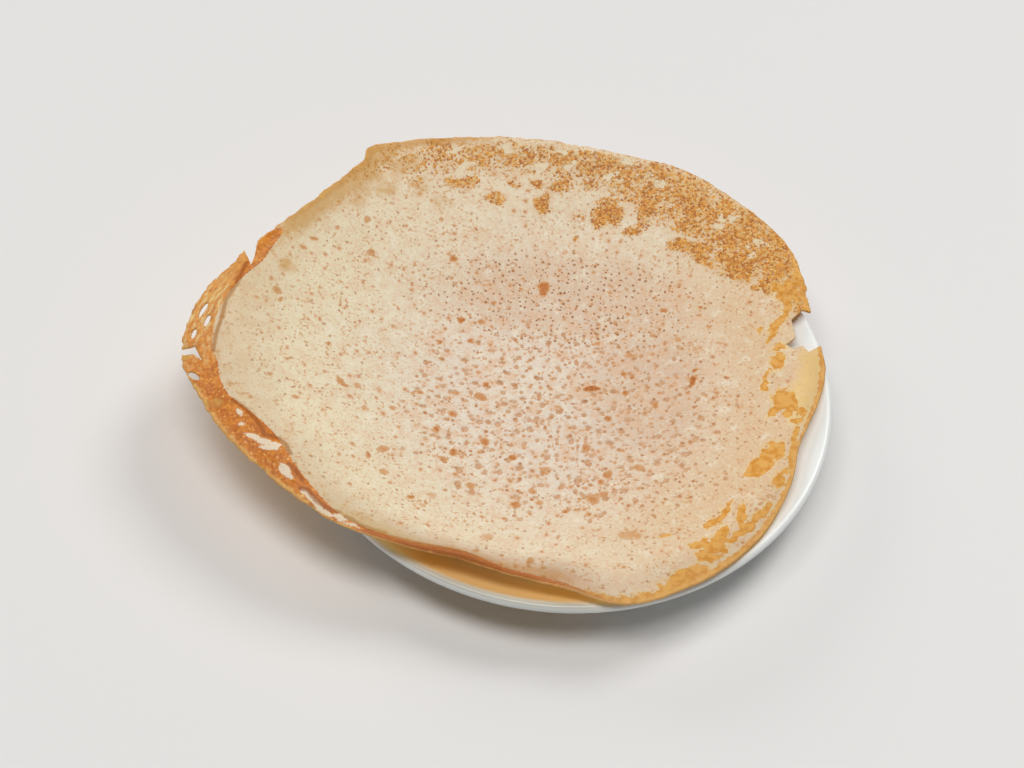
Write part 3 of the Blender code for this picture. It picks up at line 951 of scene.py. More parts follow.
MARK_OVALS = (
    (9.5, 2.2, 3.0, 1.1, 8, 1), (43.2, 7.4, 2.3, 1.0, 78, 1), (43.8, 12.0, 0.9, 0.6, 88, 0.9),
    (-8.6, 44.9, 2.1, 2.0, -17, 0.8), (-8.9, 42.0, 1.6, 1.4, -86, 0.7),
    (-71.5, 57.4, 1.4, 1.3, 69, 0.5), (-88.7, 44.1, 1.4, 0.7, 24, 0.6),
    (-91.4, 39.3, 1.1, 1.0, 27, 0.5), (-81.3, 51.0, 0.9, 0.7, -85, 0.6),
    (-69.2, 45.9, 1.3, 1.2, -6, 0.55), (-40.7, 50.8, 1.4, 1.2, 10, 0.7),
    (-98.3, 19.0, 1.5, 1.3, -1, 0.55), (-96.9, 16.2, 1.1, 0.7, -82, 0.7),
    (-58.0, -34.8, 2.4, 1.5, 28, 0.5), (-62.5, -39.0, 1.5, 0.8, -69, 0.7),
    (-35.5, -29.9, 1.8, 1.3, -87, 0.75), (-25.2, -23.6, 1.7, 1.5, -87, 0.7),
    (-15.7, -29.2, 1.4, 1.3, 8, 0.8), (-13.7, -50.1, 1.6, 1.4, 9, 0.7),
    (-41.7, -21.0, 1.3, 1.1, -85, 0.8), (-27.8, -4.4, 2.3, 1.4, -21, 0.6),
    (-26.2, 1.0, 1.3, 0.9, -80, 0.8), (-36.5, -13.1, 1.4, 1.3, -87, 0.7),
    (-36.3, -3.9, 1.8, 1.4, -90, 0.35), (-74.5, -9.3, 1.5, 1.1, -67, 0.6),
    (-72.7, -10.8, 1.6, 0.8, 4, 0.6), (-68.9, -9.4, 1.4, 1.3, 20, 0.4),
    (-8.4, -75.7, 1.9, 1.1, 70, 0.5), (11.1, -44.8, 2.5, 2.0, -41, 0.55),
    (14.2, -42.5, 1.7, 1.2, -17, 0.6), (-22.4, -66.8, 2.6, 1.9, 14, 0.3),
    (23.1, -60.3, 4.5, 2.1, 2, 0.35), (34.1, -59.9, 2.5, 0.9, 12, 0.6),
    (-36.2, 26.8, 1.4, 0.9, 15, 0.9), (-32.7, 19.1, 1.1, 0.9, 7, 0.8), (-29.4, 27.6, 1.4, 1.0, 25, 0.6),
    (-25.6, 35.8, 0.9, 0.8, 3, 0.8), (-43.0, 16.6, 1.0, 1.0, -85, 0.8), (20.8, 1.5, 1.1, 0.9, -89, 0.8),
    (15.2, -10.0, 1.3, 1.2, 6, 0.7), (20.0, 9.5, 1.1, 1.0, -90, 0.6), (22.9, 8.1, 0.8, 0.7, -87, 0.8),
    (22.4, 17.6, 2.4, 0.9, 3, 0.4), (8.2, -22.9, 1.7, 1.3, -88, 0.65),
    (15.7, -34.0, 1.7, 1.6, -89, 0.6), (13.5, -37.2, 1.0, 1.0, -89, 0.8),
    (25.8, -30.4, 2.0, 1.3, -25, 0.5), (31.2, -3.1, 1.3, 1.2, 88, 0.6), (9.8, -51.6, 0.9, 0.8, 90, 0.7),
    (2.4, -51.4, 1.1, 0.9, 7, 0.7), (6.0, -50.1, 0.9, 0.8, -86, 0.7), (-4.7, -33.8, 2.0, 1.8, 5, 0.4),
    (-8.8, -43.1, 1.4, 1.3, -90, 0.6), (-6.1, -48.1, 1.3, 1.2, 8, 0.35),
    (-29.0, -43.9, 1.6, 1.2, -12, 0.5), (-47.8, -53.7, 1.3, 0.9, 17, 0.6),
    (-40.9, -51.2, 1.7, 1.6, 80, 0.3), (-38.6, -33.7, 1.5, 1.3, -86, 0.45),
    (-57.1, -44.5, 1.6, 1.5, -61, 0.4), (-56.4, -15.3, 1.1, 1.0, -88, 0.6),
    (-65.7, -18.4, 1.1, 1.0, -85, 0.4), (-79.6, 5.1, 0.8, 0.8, -88, 0.7),
    (-87.9, -21.3, 1.2, 0.9, 6, 0.5), (-36.5, 27.3, 1.4, 1.0, 9, 0.6), (-48.2, -6.1, 1.0, 0.8, 10, 0.6),
    (-75.2, -8.8, 1.3, 0.7, -85, 0.5), (10.9, 22.0, 1.1, 0.9, 9, 0.5), (33.3, 36.9, 1.1, 1.0, 1, 0.8),
    (45.7, 38.0, 0.8, 0.7, 89, 0.7), (48.7, 30.0, 0.9, 0.8, -2, 0.6), (38.3, 24.7, 1.4, 1.3, -3, 0.4),
)
WINDOW_OVALS = (
    (-103.8, -34.8, 1.5, 0.7, -47, 0.7), (-103.0, -38.5, 1.3, 0.8, -3, 0.6),
    (-98.6, -43.3, 2.2, 0.7, -23, 1), (-94.9, -45.0, 2.7, 0.8, -17, 0.9),
    (-93.0, -47.2, 2.7, 0.7, -14, 0.85), (-91.3, -46.6, 1.6, 0.9, 0, 0.8),
    (-87.2, -54.4, 2.2, 1.0, -45, 1), (-85.1, -56.8, 1.3, 0.6, -43, 0.7),
    (-80.2, -61.8, 1.2, 0.6, -29, 0.9), (-76.9, -64.9, 3.2, 0.7, -37, 0.95),
    (-73.0, -67.6, 1.4, 0.6, -35, 0.9), (-68.5, -68.7, 2.8, 0.9, -14, 0.7),
    (-64.3, -71.1, 2.6, 0.6, -20, 0.6),
)

# Creases along the crest of the west lip: each is a chain of places in millimetres.
SEAMS = (
    ((-109.1, 25.6), (-111.2, 15.4), (-113.8, 9.1), (-114.3, 0.5), (-115.3, -5.6), (-115.3, -11.5)),
    (
        (-106.6, -30.2), (-102.3, -33.1), (-98.7, -36.9), (-96.0, -40.6), (-95.1, -42.7),
        (-89.9, -43.9), (-87.8, -45.8), (-86.2, -48.7),
    ),
    ((-86.2, -52.7), (-83.7, -54.8), (-81.5, -57.6)),
    ((-81.8, -60.4), (-79.3, -61.0), (-76.8, -63.8), (-73.8, -65.7), (-71.2, -66.9), (-68.8, -67.1)),
    ((-66.7, -68.3), (-64.4, -69.3), (-62.1, -70.7), (-58.2, -72.0), (-54.1, -72.7)),
)

# Round the rim: azimuth in degrees, the speckled belt's width in millimetres and its strength.
BELT = (
    (0, 0, 0), (16, 5, 0.9), (30, 15, 0.88), (45, 22, 0.76), (62, 22, 0.70), (80, 16, 0.60),
    (100, 14, 0.57), (118, 12, 0.49), (132, 5, 0.35), (145, 0, 0), (360, 0, 0),
)

# Round the rim: azimuth in degrees and the width of the golden edge in millimetres.
GOLD_EDGE = (
    (0, 2.4), (15, 1.5), (25, 3), (32, 0), (280, 0), (288, 2.0), (300, 2.2), (315, 1.6), (330, 2),
    (345, 2), (360, 2.4),
)

# Along the front: azimuth in degrees and the width of the brown edge in millimetres.
FRONT_EDGE = (
    (0, 0), (238, 0), (243, 3.4), (248, 5.2), (252, 6.4), (257, 7.2), (262, 7.0), (266, 5.2),
    (270, 3.8), (278, 3.0), (282, 2.0), (288, 1.2), (294, 0), (360, 0),
)

# Along the west lip: azimuth in degrees and how far its crust reaches in past the crest, in
# millimetres.
LIP_INNER = (
    (0, 0.2), (154, 0.8), (160, 1.2), (166, 1.2), (171, -0.4), (176, -2.4), (181, -3.8), (188, -4.0),
    (193, -2.6), (197, -2.2), (200, -1.8), (204, -0.6), (208, 0.2), (360, 0.2),
)

# Round the rim: azimuth in degrees, how much light the edge lets through, and the share of the
# way out where it begins to.
CLEAR_EDGE = (
    (0, 0.4, 0.93), (30, 0.12, 0.9), (120, 0.12, 0.88), (150, 0.25, 0.88), (170, 0.50, 0.84),
    (225, 0.50, 0.84), (240, 0.74, 0.84), (280, 0.78, 0.84), (292, 0.45, 0.90), (330, 0.45, 0.93),
    (360, 0.4, 0.93),
)
CLEAR_MIDDLE = 0.05

# Stretches of the rim: the middle's azimuth and the half width, both in degrees.
# The olive stretch is a band below the north-west rim: partly mustard crust, partly painted shade on the
# steep wall there.
OLIVE_SHADE_STRETCH = (140, 30)
LINE_STRETCH = (128, 42)
SPARSE_STRETCH = (88, 55)
SPARSE_CUT = 0.62
SIDES = {"spike": (167, 9), "lace": (165, 34), "west": (190, 85), "east": (350, 80)}

# Wide ovals: the middle, half length and half width in millimetres, and the turn.
PINPRICK_ZONE = ((-1, 38), 50, 21, 0)
POCK_ZONE = ((6, -12), 58, 44, 0)
DUSK_ZONES = (((28, 4), 22, 34, 0), ((0, 40), 50, 20, 0))
PORE_ZONE = ((-4, -16), 54, 44, 0)

RULE_STEPS = 14
WIDE_SHAKE = 1.6 * MM
WIDE_SHAKE_SIZE = 5 * MM
FINE_SHAKE = 0.5 * MM
FINE_SHAKE_SIZE = 1.5 * MM


# %% Fields from the places
def reach_of(plan, place, half_length, half_width, turn):
    """How far plan points are from an oval's middle, where 1 is its outline."""
    angle = math.radians(turn)
    offset = plan - np.array(place) * MM
    along = (offset @ (math.cos(angle), math.sin(angle))) / (half_length * MM)
    across = (offset @ (-math.sin(angle), math.cos(angle))) / (half_width * MM)
    return np.hypot(along, across)


def ovals(plan, table, profile):
    """The highest of many ovals at each point: a profile of the reach times the strength."""
    field = np.zeros(len(plan))
    for x, y, half_length, half_width, turn, strength in table:
        reach = reach_of(plan, (x, y), half_length, half_width, turn)
        field = np.maximum(field, strength * profile(reach))
    return field


def patches(plan, table, soft):
    """Soft ovals: each is as high as its strength inside, and fades to 0 round its outline."""
    return ovals(plan, table, lambda reach: 1 - smooth_step(reach, 1 - soft, 1 + soft))


def cones(plan, table):
    """Ovals with one slope: 1 in the middle, 0.5 on the outline and 0 at twice its size."""
    return ovals(plan, table, lambda reach: np.clip(1 - reach / 2, 0, 1))


def away_from(plan, chains):
    """Distance in millimetres from plan points to the nearest of many chains of places."""
    nearest = np.full(len(plan), 99.0)
    for chain in chains:
        for start, end in zip(chain, chain[1:]):
            start = np.array(start) * MM
            along = np.array(end) * MM - start
            share = np.clip((plan - start) @ along / (along @ along), 0, 1)
            nearest = np.minimum(nearest, np.hypot(*(plan - start - share[:, None] * along).T) / MM)
    return nearest


def read_points(mesh):
    points = np.zeros(len(mesh.vertices) * 3)
    mesh.vertices.foreach_get("co", points)
    return points.reshape(-1, 3) - np.array(PLATE_AXIS)


def share_and_azimuth(plan):
    """The rule's share and azimuth for points in plan, found by stepping towards them."""
    share = np.full(len(plan), 0.5)
    for _ in range(RULE_STEPS):
        offset = plan - ring_middle(share)
        azimuth = np.degrees(np.arctan2(offset[:, 1], offset[:, 0]))
        share = np.clip(np.hypot(*offset.T) / rim_at(share, azimuth)[0], 0, 1.05)
    return share, azimuth


def store(mesh, name, values):
    layer = mesh.attributes.new(name, "FLOAT", "POINT")
    layer.data.foreach_set("value", np.asarray(values, np.float32))


def bump_at(azimuth, middle, half_width):
    """1 at an azimuth and 0 beyond a number of degrees on either side, smooth between."""
    away = abs((azimuth - middle + 180) % 360 - 180)
    return 1 - smooth_step(away, 0.35 * half_width, half_width)


def shaken_plan(points):
    """Plan places pushed about by noise, so that no oval has a clean outline."""
    plan = points[:, :2].copy()
    for size, amount in ((WIDE_SHAKE_SIZE, WIDE_SHAKE), (FINE_SHAKE_SIZE, FINE_SHAKE)):
        plan[:, 0] += amount * noise_at(points, size)
        plan[:, 1] += amount * noise_at(points + 0.3, size)
    return plan


class Places:
    """Where a mesh's points lie in the rule that shaped the sheet, in millimetres from its rim."""

    def __init__(self, mesh):
        self.points = read_points(mesh)
        self.plan = self.points[:, :2]
        self.share, self.azimuth = share_and_azimuth(self.plan)
        reach, _, lip = rim_at(self.share, self.azimuth)
        self.from_rim = (1 - self.share) * reach / MM
        self.lip = lip / MM
        top = hopper_height(self.share, self.azimuth)
        self.depth = (top - self.points[:, 2]) / thickness_at(self.share)

    def along(self, table, column=1):
        """A column of a table that goes round the rim, at every point."""
        rows = np.array(table, float)
        return np.interp(self.azimuth % 360, rows[:, 0], rows[:, column])

    def near(self, start, end):
        """1 up to a distance from the rim, and 0 beyond another."""
        return 1 - smooth_step(self.from_rim, start, end)

    def belt(self, start, end):
        """The speckled belt, which fades between two shares of its width, and 1 mm more."""
        width = self.along(BELT)
        return self.along(BELT, 2) * self.near(start * width, end * width + 1)


def store_side_fields(mesh, places):
    """Fields that tell the sheet's sides, edges and depths apart."""
    store(mesh, "share", places.share)
    store(mesh, "from_rim", places.from_rim)
    store(mesh, "from_crest", places.lip - places.from_rim)
    store(mesh, "along_rim", np.radians(places.azimuth % 360) * 100)
    store(mesh, "under", smooth_step(places.depth, 0.35, 0.75))
    for name, stretch in SIDES.items():
        store(mesh, name, bump_at(places.azimuth, *stretch))
    start = places.along(CLEAR_EDGE, 2)
    gain = smooth_step(places.share, start - 0.05, start + 0.1)
    store(mesh, "clear", CLEAR_MIDDLE + (places.along(CLEAR_EDGE) - CLEAR_MIDDLE) * gain)


def store_baked_fields(mesh, places, plan):
    """Fields that say where each finish lies, on the shaken plan, so none has a clean outline."""
    push = plan - places.plan
    belt = places.belt(0.55, 1.15)
    belt = belt * (1 - SPARSE_CUT * bump_at(places.azimuth, *SPARSE_STRETCH) * places.near(1.0, 4.0))
    gold_edge = np.clip(1 - places.from_rim / (2 * places.along(GOLD_EDGE) + 0.01), 0, 1)
    # Olive band below the north-west rim, partly painted shade.
    olive = bump_at(places.azimuth, *OLIVE_SHADE_STRETCH) * places.near(1.5, 12.0)
    inward = places.from_rim - places.lip - places.along(LIP_INNER)
    store(mesh, "speckled", np.maximum(belt, patches(plan, BROWN_OVALS, 0.55)))
    store(mesh, "golden", np.maximum(cones(plan, GOLDEN_OVALS), gold_edge))
    store(mesh, "film", patches(plan, FILM_OVALS, 0.4))
    store(mesh, "pale", patches(plan, PALE_OVALS, 0.3))
    store(mesh, "mark", patches(places.plan + 0.35 * push, MARK_OVALS, 0.35))
    store(mesh, "window", cones(places.plan + 0.4 * push, WINDOW_OVALS))
    store(mesh, "seam", away_from(places.plan, SEAMS))
    store(mesh, "lip", smooth_step(places.lip, 0.6, 2.5) * (1 - smooth_step(inward, 0.0, 1.4)))
    store(mesh, "olive", np.maximum(olive, patches(plan, OLIVE_OVALS, 0.6)))
    store(mesh, "rim_line", bump_at(places.azimuth, *LINE_STRETCH) * places.near(0.8, 4.0))
    store(mesh, "front", 0.5 + places.along(FRONT_EDGE) - places.from_rim)


def store_wide_fields(mesh, plan):
    """Fields for the wide zones of pinpricks, pocks and duskier crumb."""
    dusk = np.minimum(*(reach_of(plan, *zone) for zone in DUSK_ZONES))
    store(mesh, "pinpricks", 1 - smooth_step(reach_of(plan, *PINPRICK_ZONE), 0.6, 1.25))
    store(mesh, "pocks", 1 - smooth_step(reach_of(plan, *POCK_ZONE), 0.7, 1.12))
    store(mesh, "dusk", 1 - smooth_step(dusk, 0.5, 1.2))


def store_fields(mesh):
    places = Places(mesh)
    plan = shaken_plan(places.points)
    store_side_fields(mesh, places)
    store_baked_fields(mesh, places, plan)
    store_wide_fields(mesh, plan)


store_fields(hopper.data)
print("fields:", [layer.name for layer in hopper.data.attributes if layer.data_type == "FLOAT"])

# %% [markdown]
# ## Pits, pores and blisters
#
# Bubbles burst all over the spongy middle and left pits, large and shallow towards the front
# and like pinpricks towards the back. Round the north-east the crust blistered. Each is a spot
# with a place and a radius, so they are one job for Geometry Nodes: every point of the sheet
# finds its nearest spot and moves in or out by a profile of its distance. The share of the depth
# is stored too, so that the material can darken each pit exactly where it is.

# %% Pits thrown like darts
PIT_CENTRE = Vector((-2 * MM, -7 * MM))
PIT_COUNT = 120
PIT_FIELD = 48 * MM
PIT_RADIUS = (0.8 * MM, 1.8 * MM)
PIT_SPACING = 1.3 * MM
PIT_STRETCH = 1.22
PIT_SIZES = (0.35, 1.0)
PIT_FRONT = 0.55
PIT_FRONT_SPAN = 1.5 * PIT_FIELD
PIT_SEED = 11


def has_room(spots, x, y, radius):
    """Whether a pit stays clear of the others, however both are stretched."""
    return all(
        math.hypot(x - spot[0], y - spot[1]) > (radius + spot[2]) * PIT_STRETCH + PIT_SPACING
        for spot in spots
    )


def pit_spots():
    """Place, radius and stretch of every pit, thrown like darts and kept where there is room."""
    dice = random.Random(PIT_SEED)
    smallest, largest = PIT_RADIUS
    spots = []
    while len(spots) < PIT_COUNT:
        distance = PIT_FIELD * math.sqrt(dice.random())
        angle = dice.uniform(0.0, math.tau)
        x = PIT_CENTRE.x + distance * math.cos(angle)
        y = PIT_CENTRE.y + distance * math.sin(angle)
        in_front = min(1.0, max(0.0, PIT_FRONT - (y - PIT_CENTRE.y) / PIT_FRONT_SPAN))
        radius = smallest + (largest - smallest) * in_front * dice.uniform(*PIT_SIZES)
        stretch = dice.uniform(1.0 / PIT_STRETCH, PIT_STRETCH)
        if has_room(spots, x, y, radius):
            spots.append((x, y, radius, stretch))
    return spots


def make_pit_cloud():
    """The pits as loose points on the sheet, each with its radius and its stretch."""
    spots = np.array(pit_spots())
    share, azimuth = share_and_azimuth(spots[:, :2])
    heights = hopper_height(share, azimuth)
    points = np.column_stack([spots[:, :2], heights]) + np.array(PLATE_AXIS)
    cloud = new_object("pit_spots", mesh_from("pit_spots", points))
    store(cloud.data, "radius", spots[:, 2])
    store(cloud.data, "stretch", spots[:, 3])
    return cloud


pit_cloud = make_pit_cloud()
print(len(pit_cloud.data.vertices), "pits")


# %% The tree that presses spots into a sheet
TOWARDS_FRONT = (0.4, -0.9, 0.0)
SCATTER_DENSITY = 4e6
SCATTER_DICE_SEED = 5


def read_named(bench, name):
    feeds = {"Name": name}
    return bench.node("GeometryNodeInputNamedAttribute", {"data_type": "FLOAT"}, feeds, "Attribute")


def at_nearest(bench, spots, index, kind, value):
    feeds = {"Geometry": spots, "Value": value, "Index": index}
    return bench.node("GeometryNodeSampleIndex", {"data_type": kind}, feeds)


def spot_depth(bench, spots, flat_share, stretched):
    """How far in the nearest spot, 1 on its flat floor, with its radius and the way to its front."""
    here = bench.node("GeometryNodeInputPosition")
    nearest = {"Geometry": spots, "Sample Position": here}
    index = bench.node("GeometryNodeSampleNearest", {}, nearest)
    centre = at_nearest(bench, spots, index, "FLOAT_VECTOR", here)
    radius = at_nearest(bench, spots, index, "FLOAT", read_named(bench, "radius"))
    offset = bench.vector("SUBTRACT", here, centre)
    if stretched:
        stretch = at_nearest(bench, spots, index, "FLOAT", read_named(bench, "stretch"))
        shape = bench.node("ShaderNodeCombineXYZ", {}, {"X": 1 / stretch, "Y": stretch, "Z": 1.0})
        offset = bench.vector("MULTIPLY", offset, shape)
    distance = bench.vector("LENGTH", offset, output="Value") / radius
    front = bench.vector("DOT_PRODUCT", offset, TOWARDS_FRONT, output="Value") / radius
    return 1 - distance.rise(flat_share, 1.0), radius, front


def store_named(bench, geometry, name, value):
    settings = {"data_type": "FLOAT", "domain": "POINT"}
    feeds = {"Geometry": geometry, "Name": name, "Value": value}
    return bench.node("GeometryNodeStoreNamedAttribute", settings, feeds)


def make_pit_tree():
    inputs = {"Spots": "Object", "Depth share": "Float", "Floor share": "Float", "Crust": "Material"}
    bench, sheet, wires = new_tree("Pits", inputs)
    cloud = {"Object": wires["Spots"]}
    spots = bench.node("GeometryNodeObjectInfo", {"transform_space": "ORIGINAL"}, cloud, "Geometry")
    depth, radius, front = spot_depth(bench, spots, wires["Floor share"], stretched=True)
    pressed = store_named(bench, sheet, "pit", depth)
    pressed = store_named(bench, pressed, "pit_front", front)
    inward = 0 - depth * radius * wires["Depth share"]
    feeds = {"Vector": bench.node("GeometryNodeInputNormal"), "Scale": inward}
    offset = bench.node("ShaderNodeVectorMath", {"operation": "SCALE"}, feeds)
    moved = bench.node("GeometryNodeSetPosition", {}, {"Geometry": pressed, "Offset": offset})
    end_tree(bench, moved, wires["Crust"])
    return bench.tree


def make_scatter_tree(name):
    """Spots scattered over the sheet where a field is high, pressed in or raised."""
    inputs = {
        "Field": "String", "Spacing": "Float", "Smallest": "Float", "Largest": "Float",
        "Height share": "Float", "Floor share": "Float", "Stored as": "String",
        "Front stored as": "String", "Seed": "Int", "Crust": "Material",
    }
    bench, sheet, wires = new_tree(name, inputs)
    feeds = {
        "Mesh": sheet, "Distance Min": wires["Spacing"], "Density Max": SCATTER_DENSITY,
        "Density Factor": read_named(bench, wires["Field"]), "Seed": wires["Seed"],
    }
    spread = {"distribute_method": "POISSON"}
    cloud = bench.node("GeometryNodeDistributePointsOnFaces", spread, feeds, "Points")
    sizes = {2: wires["Smallest"], 3: wires["Largest"], "Seed": SCATTER_DICE_SEED}
    radii = bench.node("FunctionNodeRandomValue", {"data_type": "FLOAT"}, sizes, 1)
    cloud = store_named(bench, cloud, "radius", radii)
    depth, radius, front = spot_depth(bench, cloud, wires["Floor share"], stretched=False)
    marked = store_named(bench, sheet, wires["Stored as"], depth)
    marked = store_named(bench, marked, wires["Front stored as"], front)
    up = bench.node("ShaderNodeCombineXYZ", {}, {"Z": depth * radius * wires["Height share"]})
    moved = bench.node("GeometryNodeSetPosition", {}, {"Geometry": marked, "Offset": up})
    end_tree(bench, moved, wires["Crust"])
    return bench.tree


print("spot trees ready")

# %% [markdown]
# ## What the hopper looks like
#
# One material dresses the whole sheet, because its finishes run into each other: cream crumb,
# greyer where it is moist and thick, tan towards the east; brown specks everywhere; a belt of
# granular brown crust; smooth golden patches; strands and pale windows in the orange west lip;
# and a toasted underside. Each finish is a short function that lays its coats over the ones
# before, through a Painter, which is a Bench that keeps the colour so far.


# %% Patterns that the finishes share
class Painter(Bench):
    """A material's bench that keeps the colour so far, and has patterns to lay paint by."""

    def __init__(self, tree, colour):
        super().__init__(tree)
        self.place = self.node("ShaderNodeTexCoord", output="Object")
        self.colour = colour

    def coat(self, share, colour):
        """Cover a share of the colour so far with another."""
        self.colour = self.mix(share, self.colour, colour)

    def field(self, name):
        """A number that is stored on the mesh."""
        return self.node("ShaderNodeAttribute", {"attribute_name": name}, output="Fac")

    def grain(self, size, detail=2, shift=0):
        """Noise from 0 to 1 with lumps of a size in metres."""
        moved = self.vector("ADD", self.place, (shift, shift, shift))
        feeds = {"Vector": moved, "Scale": 1 / size, "Detail": detail}
        return self.node("ShaderNodeTexNoise", {}, feeds)

    def flecks(self, size, start, shift):
        """Ragged flecks, the crests of a noise: the lower they start, the more there are."""
        return (self.grain(size, FLECK_DETAIL, shift) - start).rise(0.0, 0.05)

    def cells(self, place, size, dimensions):
        """Distance from the middle of a pattern's cells, and three numbers for each cell."""
        feeds = {"Vector": place, "Scale": 1 / size}
        distance = self.node("ShaderNodeTexVoronoi", {"voronoi_dimensions": dimensions}, feeds, "Distance")
        dice = self.node("ShaderNodeSeparateColor", {}, {"Color": distance.also("Color")}, "Red")
        return distance, dice

    def dots(self, place, spacing, present, radii, shift):
        """Round dots in plan, 1 in the middle and 0 at the edge, in a share of a pattern's cells."""
        smallest, largest = radii
        moved = self.vector("ADD", place, (shift, shift, 0.0))
        distance, dice = self.cells(moved, spacing, "2D")
        radius = (dice.also("Green") * (largest - smallest) + smallest) / spacing
        return (1 - distance / radius).larger(0) * (present - dice).rise(0.0, 0.04)

    def wobbled(self, size, amount):
        """The place pushed about a little, so that round things come out uneven."""
        push = self.node("ShaderNodeTexNoise", {}, {"Vector": self.place, "Scale": 1 / size}, "Color")
        push = self.vector("SUBTRACT", push, (0.5, 0.5, 0.5))
        push = self.vector("MULTIPLY", push, (amount, amount, amount))
        return self.vector("ADD", self.place, push)


# %% Paints
CRUMB = paint(237, 221, 192)
CRUMB_MIDDLE = paint(231, 217, 202)
CRUMB_EAST = paint(229, 198, 158)
CRUMB_WEST = paint(239, 227, 194)
CRUMB_PEACH = paint(229, 186, 150)
CRUMB_DUSK = paint(214, 178, 146)
CRUMB_PAINTED_LIGHT = paint(253, 243, 226)
CRUMB_SHADE = paint(218, 176, 140)
CRUMB_LIGHT = paint(246, 236, 214)
OLIVE_AND_PAINTED_SHADE = paint(210, 158, 86)
RIM_OCHRE = paint(204, 146, 72)
SPECK_PALE = paint(226, 184, 138)
SPECK_TAN = paint(212, 153, 94)
SPECK_BROWN = paint(194, 118, 54)
SPECK_DARK = paint(146, 88, 50)
MARK_BROWN = paint(198, 118, 52)
PIT_TAN = paint(209, 159, 115)
PIT_BROWN = paint(180, 112, 66)
CRUST_TINT = paint(216, 168, 106)
CRUST_BROWN = paint(228, 158, 62)
CRUST_DARK = paint(184, 108, 36)
CRUST_GLINT = paint(242, 212, 150)
CRUST_PALE = paint(236, 222, 190)
GOLD = paint(216, 143, 42)
GOLD_LIGHT = paint(233, 172, 84)
GOLD_HALO = paint(240, 212, 150)
FILM = paint(243, 207, 136)
LIP_ORANGE = paint(223, 133, 18)
LIP_DARK = paint(191, 99, 4)
LIP_SEAM = paint(160, 80, 20)
LIP_YELLOW = paint(242, 200, 122)
LIP_FILM = paint(244, 214, 154)
LIP_STRANDS = paint(226, 164, 74)
LIP_WINDOW = paint(252, 236, 212)
FRONT_BROWN = paint(186, 102, 36)
FRONT_PALE = paint(232, 172, 96)
UNDER_GOLD = paint(238, 190, 112)
UNDER_BROWN = paint(214, 150, 76)
TOP_GLOW = paint(254, 248, 236)
UNDER_GLOW = paint(255, 226, 150)

# Flecks: size, the height of the noise where they start, the noise's shift, cover and colour.
FLECKS = (
    (0.9 * MM, 0.68, 4.4, 0.4, SPECK_PALE),
    (1.2 * MM, 0.73, 0.0, 0.65, SPECK_TAN),
    (2.0 * MM, 0.80, 1.9, 0.6, SPECK_BROWN),
)
FLECK_DETAIL = 1.5
FLECK_CLUSTERING = 0.22

# Dots: how far apart their cells are, and the radii of the smallest and the largest.
SPOT_SPACING = 4.2 * MM
SPOT_RADII = (0.5 * MM, 1.6 * MM)
PRICK_SPACING = 2.3 * MM
PRICK_RADII = (0.32 * MM, 0.7 * MM)
POCK_SPACING = 4.0 * MM
POCK_RADII = (0.5 * MM, 1.1 * MM)
CRUST_CELL = 0.8 * MM


# %% Finishes of the crumb
def add_crumb(painter):
    """The crumb without its specks. It returns how far a place belongs to the middle."""
    middle = 1 - painter.field("share").rise(0.25, 0.8)
    cloud = painter.grain(12 * MM, detail=3)
    painter.coat(painter.field("west") * 0.9, CRUMB_WEST)
    painter.coat(painter.field("east") * (0.6 + 0.5 * cloud), CRUMB_EAST)
    painter.coat(middle * (0.55 + 0.6 * cloud), CRUMB_MIDDLE)
    painter.coat(painter.field("dusk") * (0.15 + 0.6 * cloud), CRUMB_DUSK)
    # Painted light: the crumb is lightened where the sheet lets light through, to make up for the light
    # that the clear share takes from its face.
    painter.coat(painter.field("clear").rise(0.05, 0.6) * 0.8, CRUMB_PAINTED_LIGHT)
    mottle = painter.grain(4.2 * MM, detail=4, shift=3.1)
    painter.coat(mottle.rise(0.46, 0.66) * (0.3 + 0.3 * middle), CRUMB_PEACH)
    painter.coat((1 - mottle.rise(0.3, 0.44)) * 0.5, CRUMB_LIGHT)
    sponge = painter.grain(1.1 * MM, detail=3, shift=0.9)
    painter.coat(sponge.rise(0.52, 0.7) * 0.28, CRUMB_SHADE)
    painter.coat((1 - sponge.rise(0.3, 0.46)) * 0.4, CRUMB_LIGHT)
    return middle


def add_specks(painter, middle):
    """Fine specks and flecks in clusters, round spots with a soft halo, and pinpricks."""
    clump = painter.grain(7 * MM, detail=2, shift=6.4)
    for size, start, shift, cover, colour in FLECKS:
        painter.coat(painter.flecks(size, start - clump * FLECK_CLUSTERING, shift) * cover, colour)
    uneven = painter.wobbled(1.1 * MM, 1.0 * MM)
    present = 2.4 * (clump - 0.36) + 0.32 * middle
    spot = painter.dots(uneven, SPOT_SPACING, present, SPOT_RADII, shift=2.7)
    painter.coat(spot.rise(0.0, 0.45) * 0.4, CRUMB_PEACH)
    painter.coat(spot.rise(0.36, 0.6) * 0.55, SPECK_TAN)
    painter.coat(spot.rise(0.62, 0.88) * 0.6, SPECK_BROWN)
    zone = painter.field("pinpricks")
    prick = painter.dots(uneven, PRICK_SPACING, 0.16 + 0.6 * zone, PRICK_RADII, shift=5.2)
    painter.coat(prick.rise(0.0, 0.35) * 0.5, SPECK_TAN)
    painter.coat(prick.rise(0.2, 0.6) * (0.4 + 0.4 * zone), SPECK_DARK)
    return prick


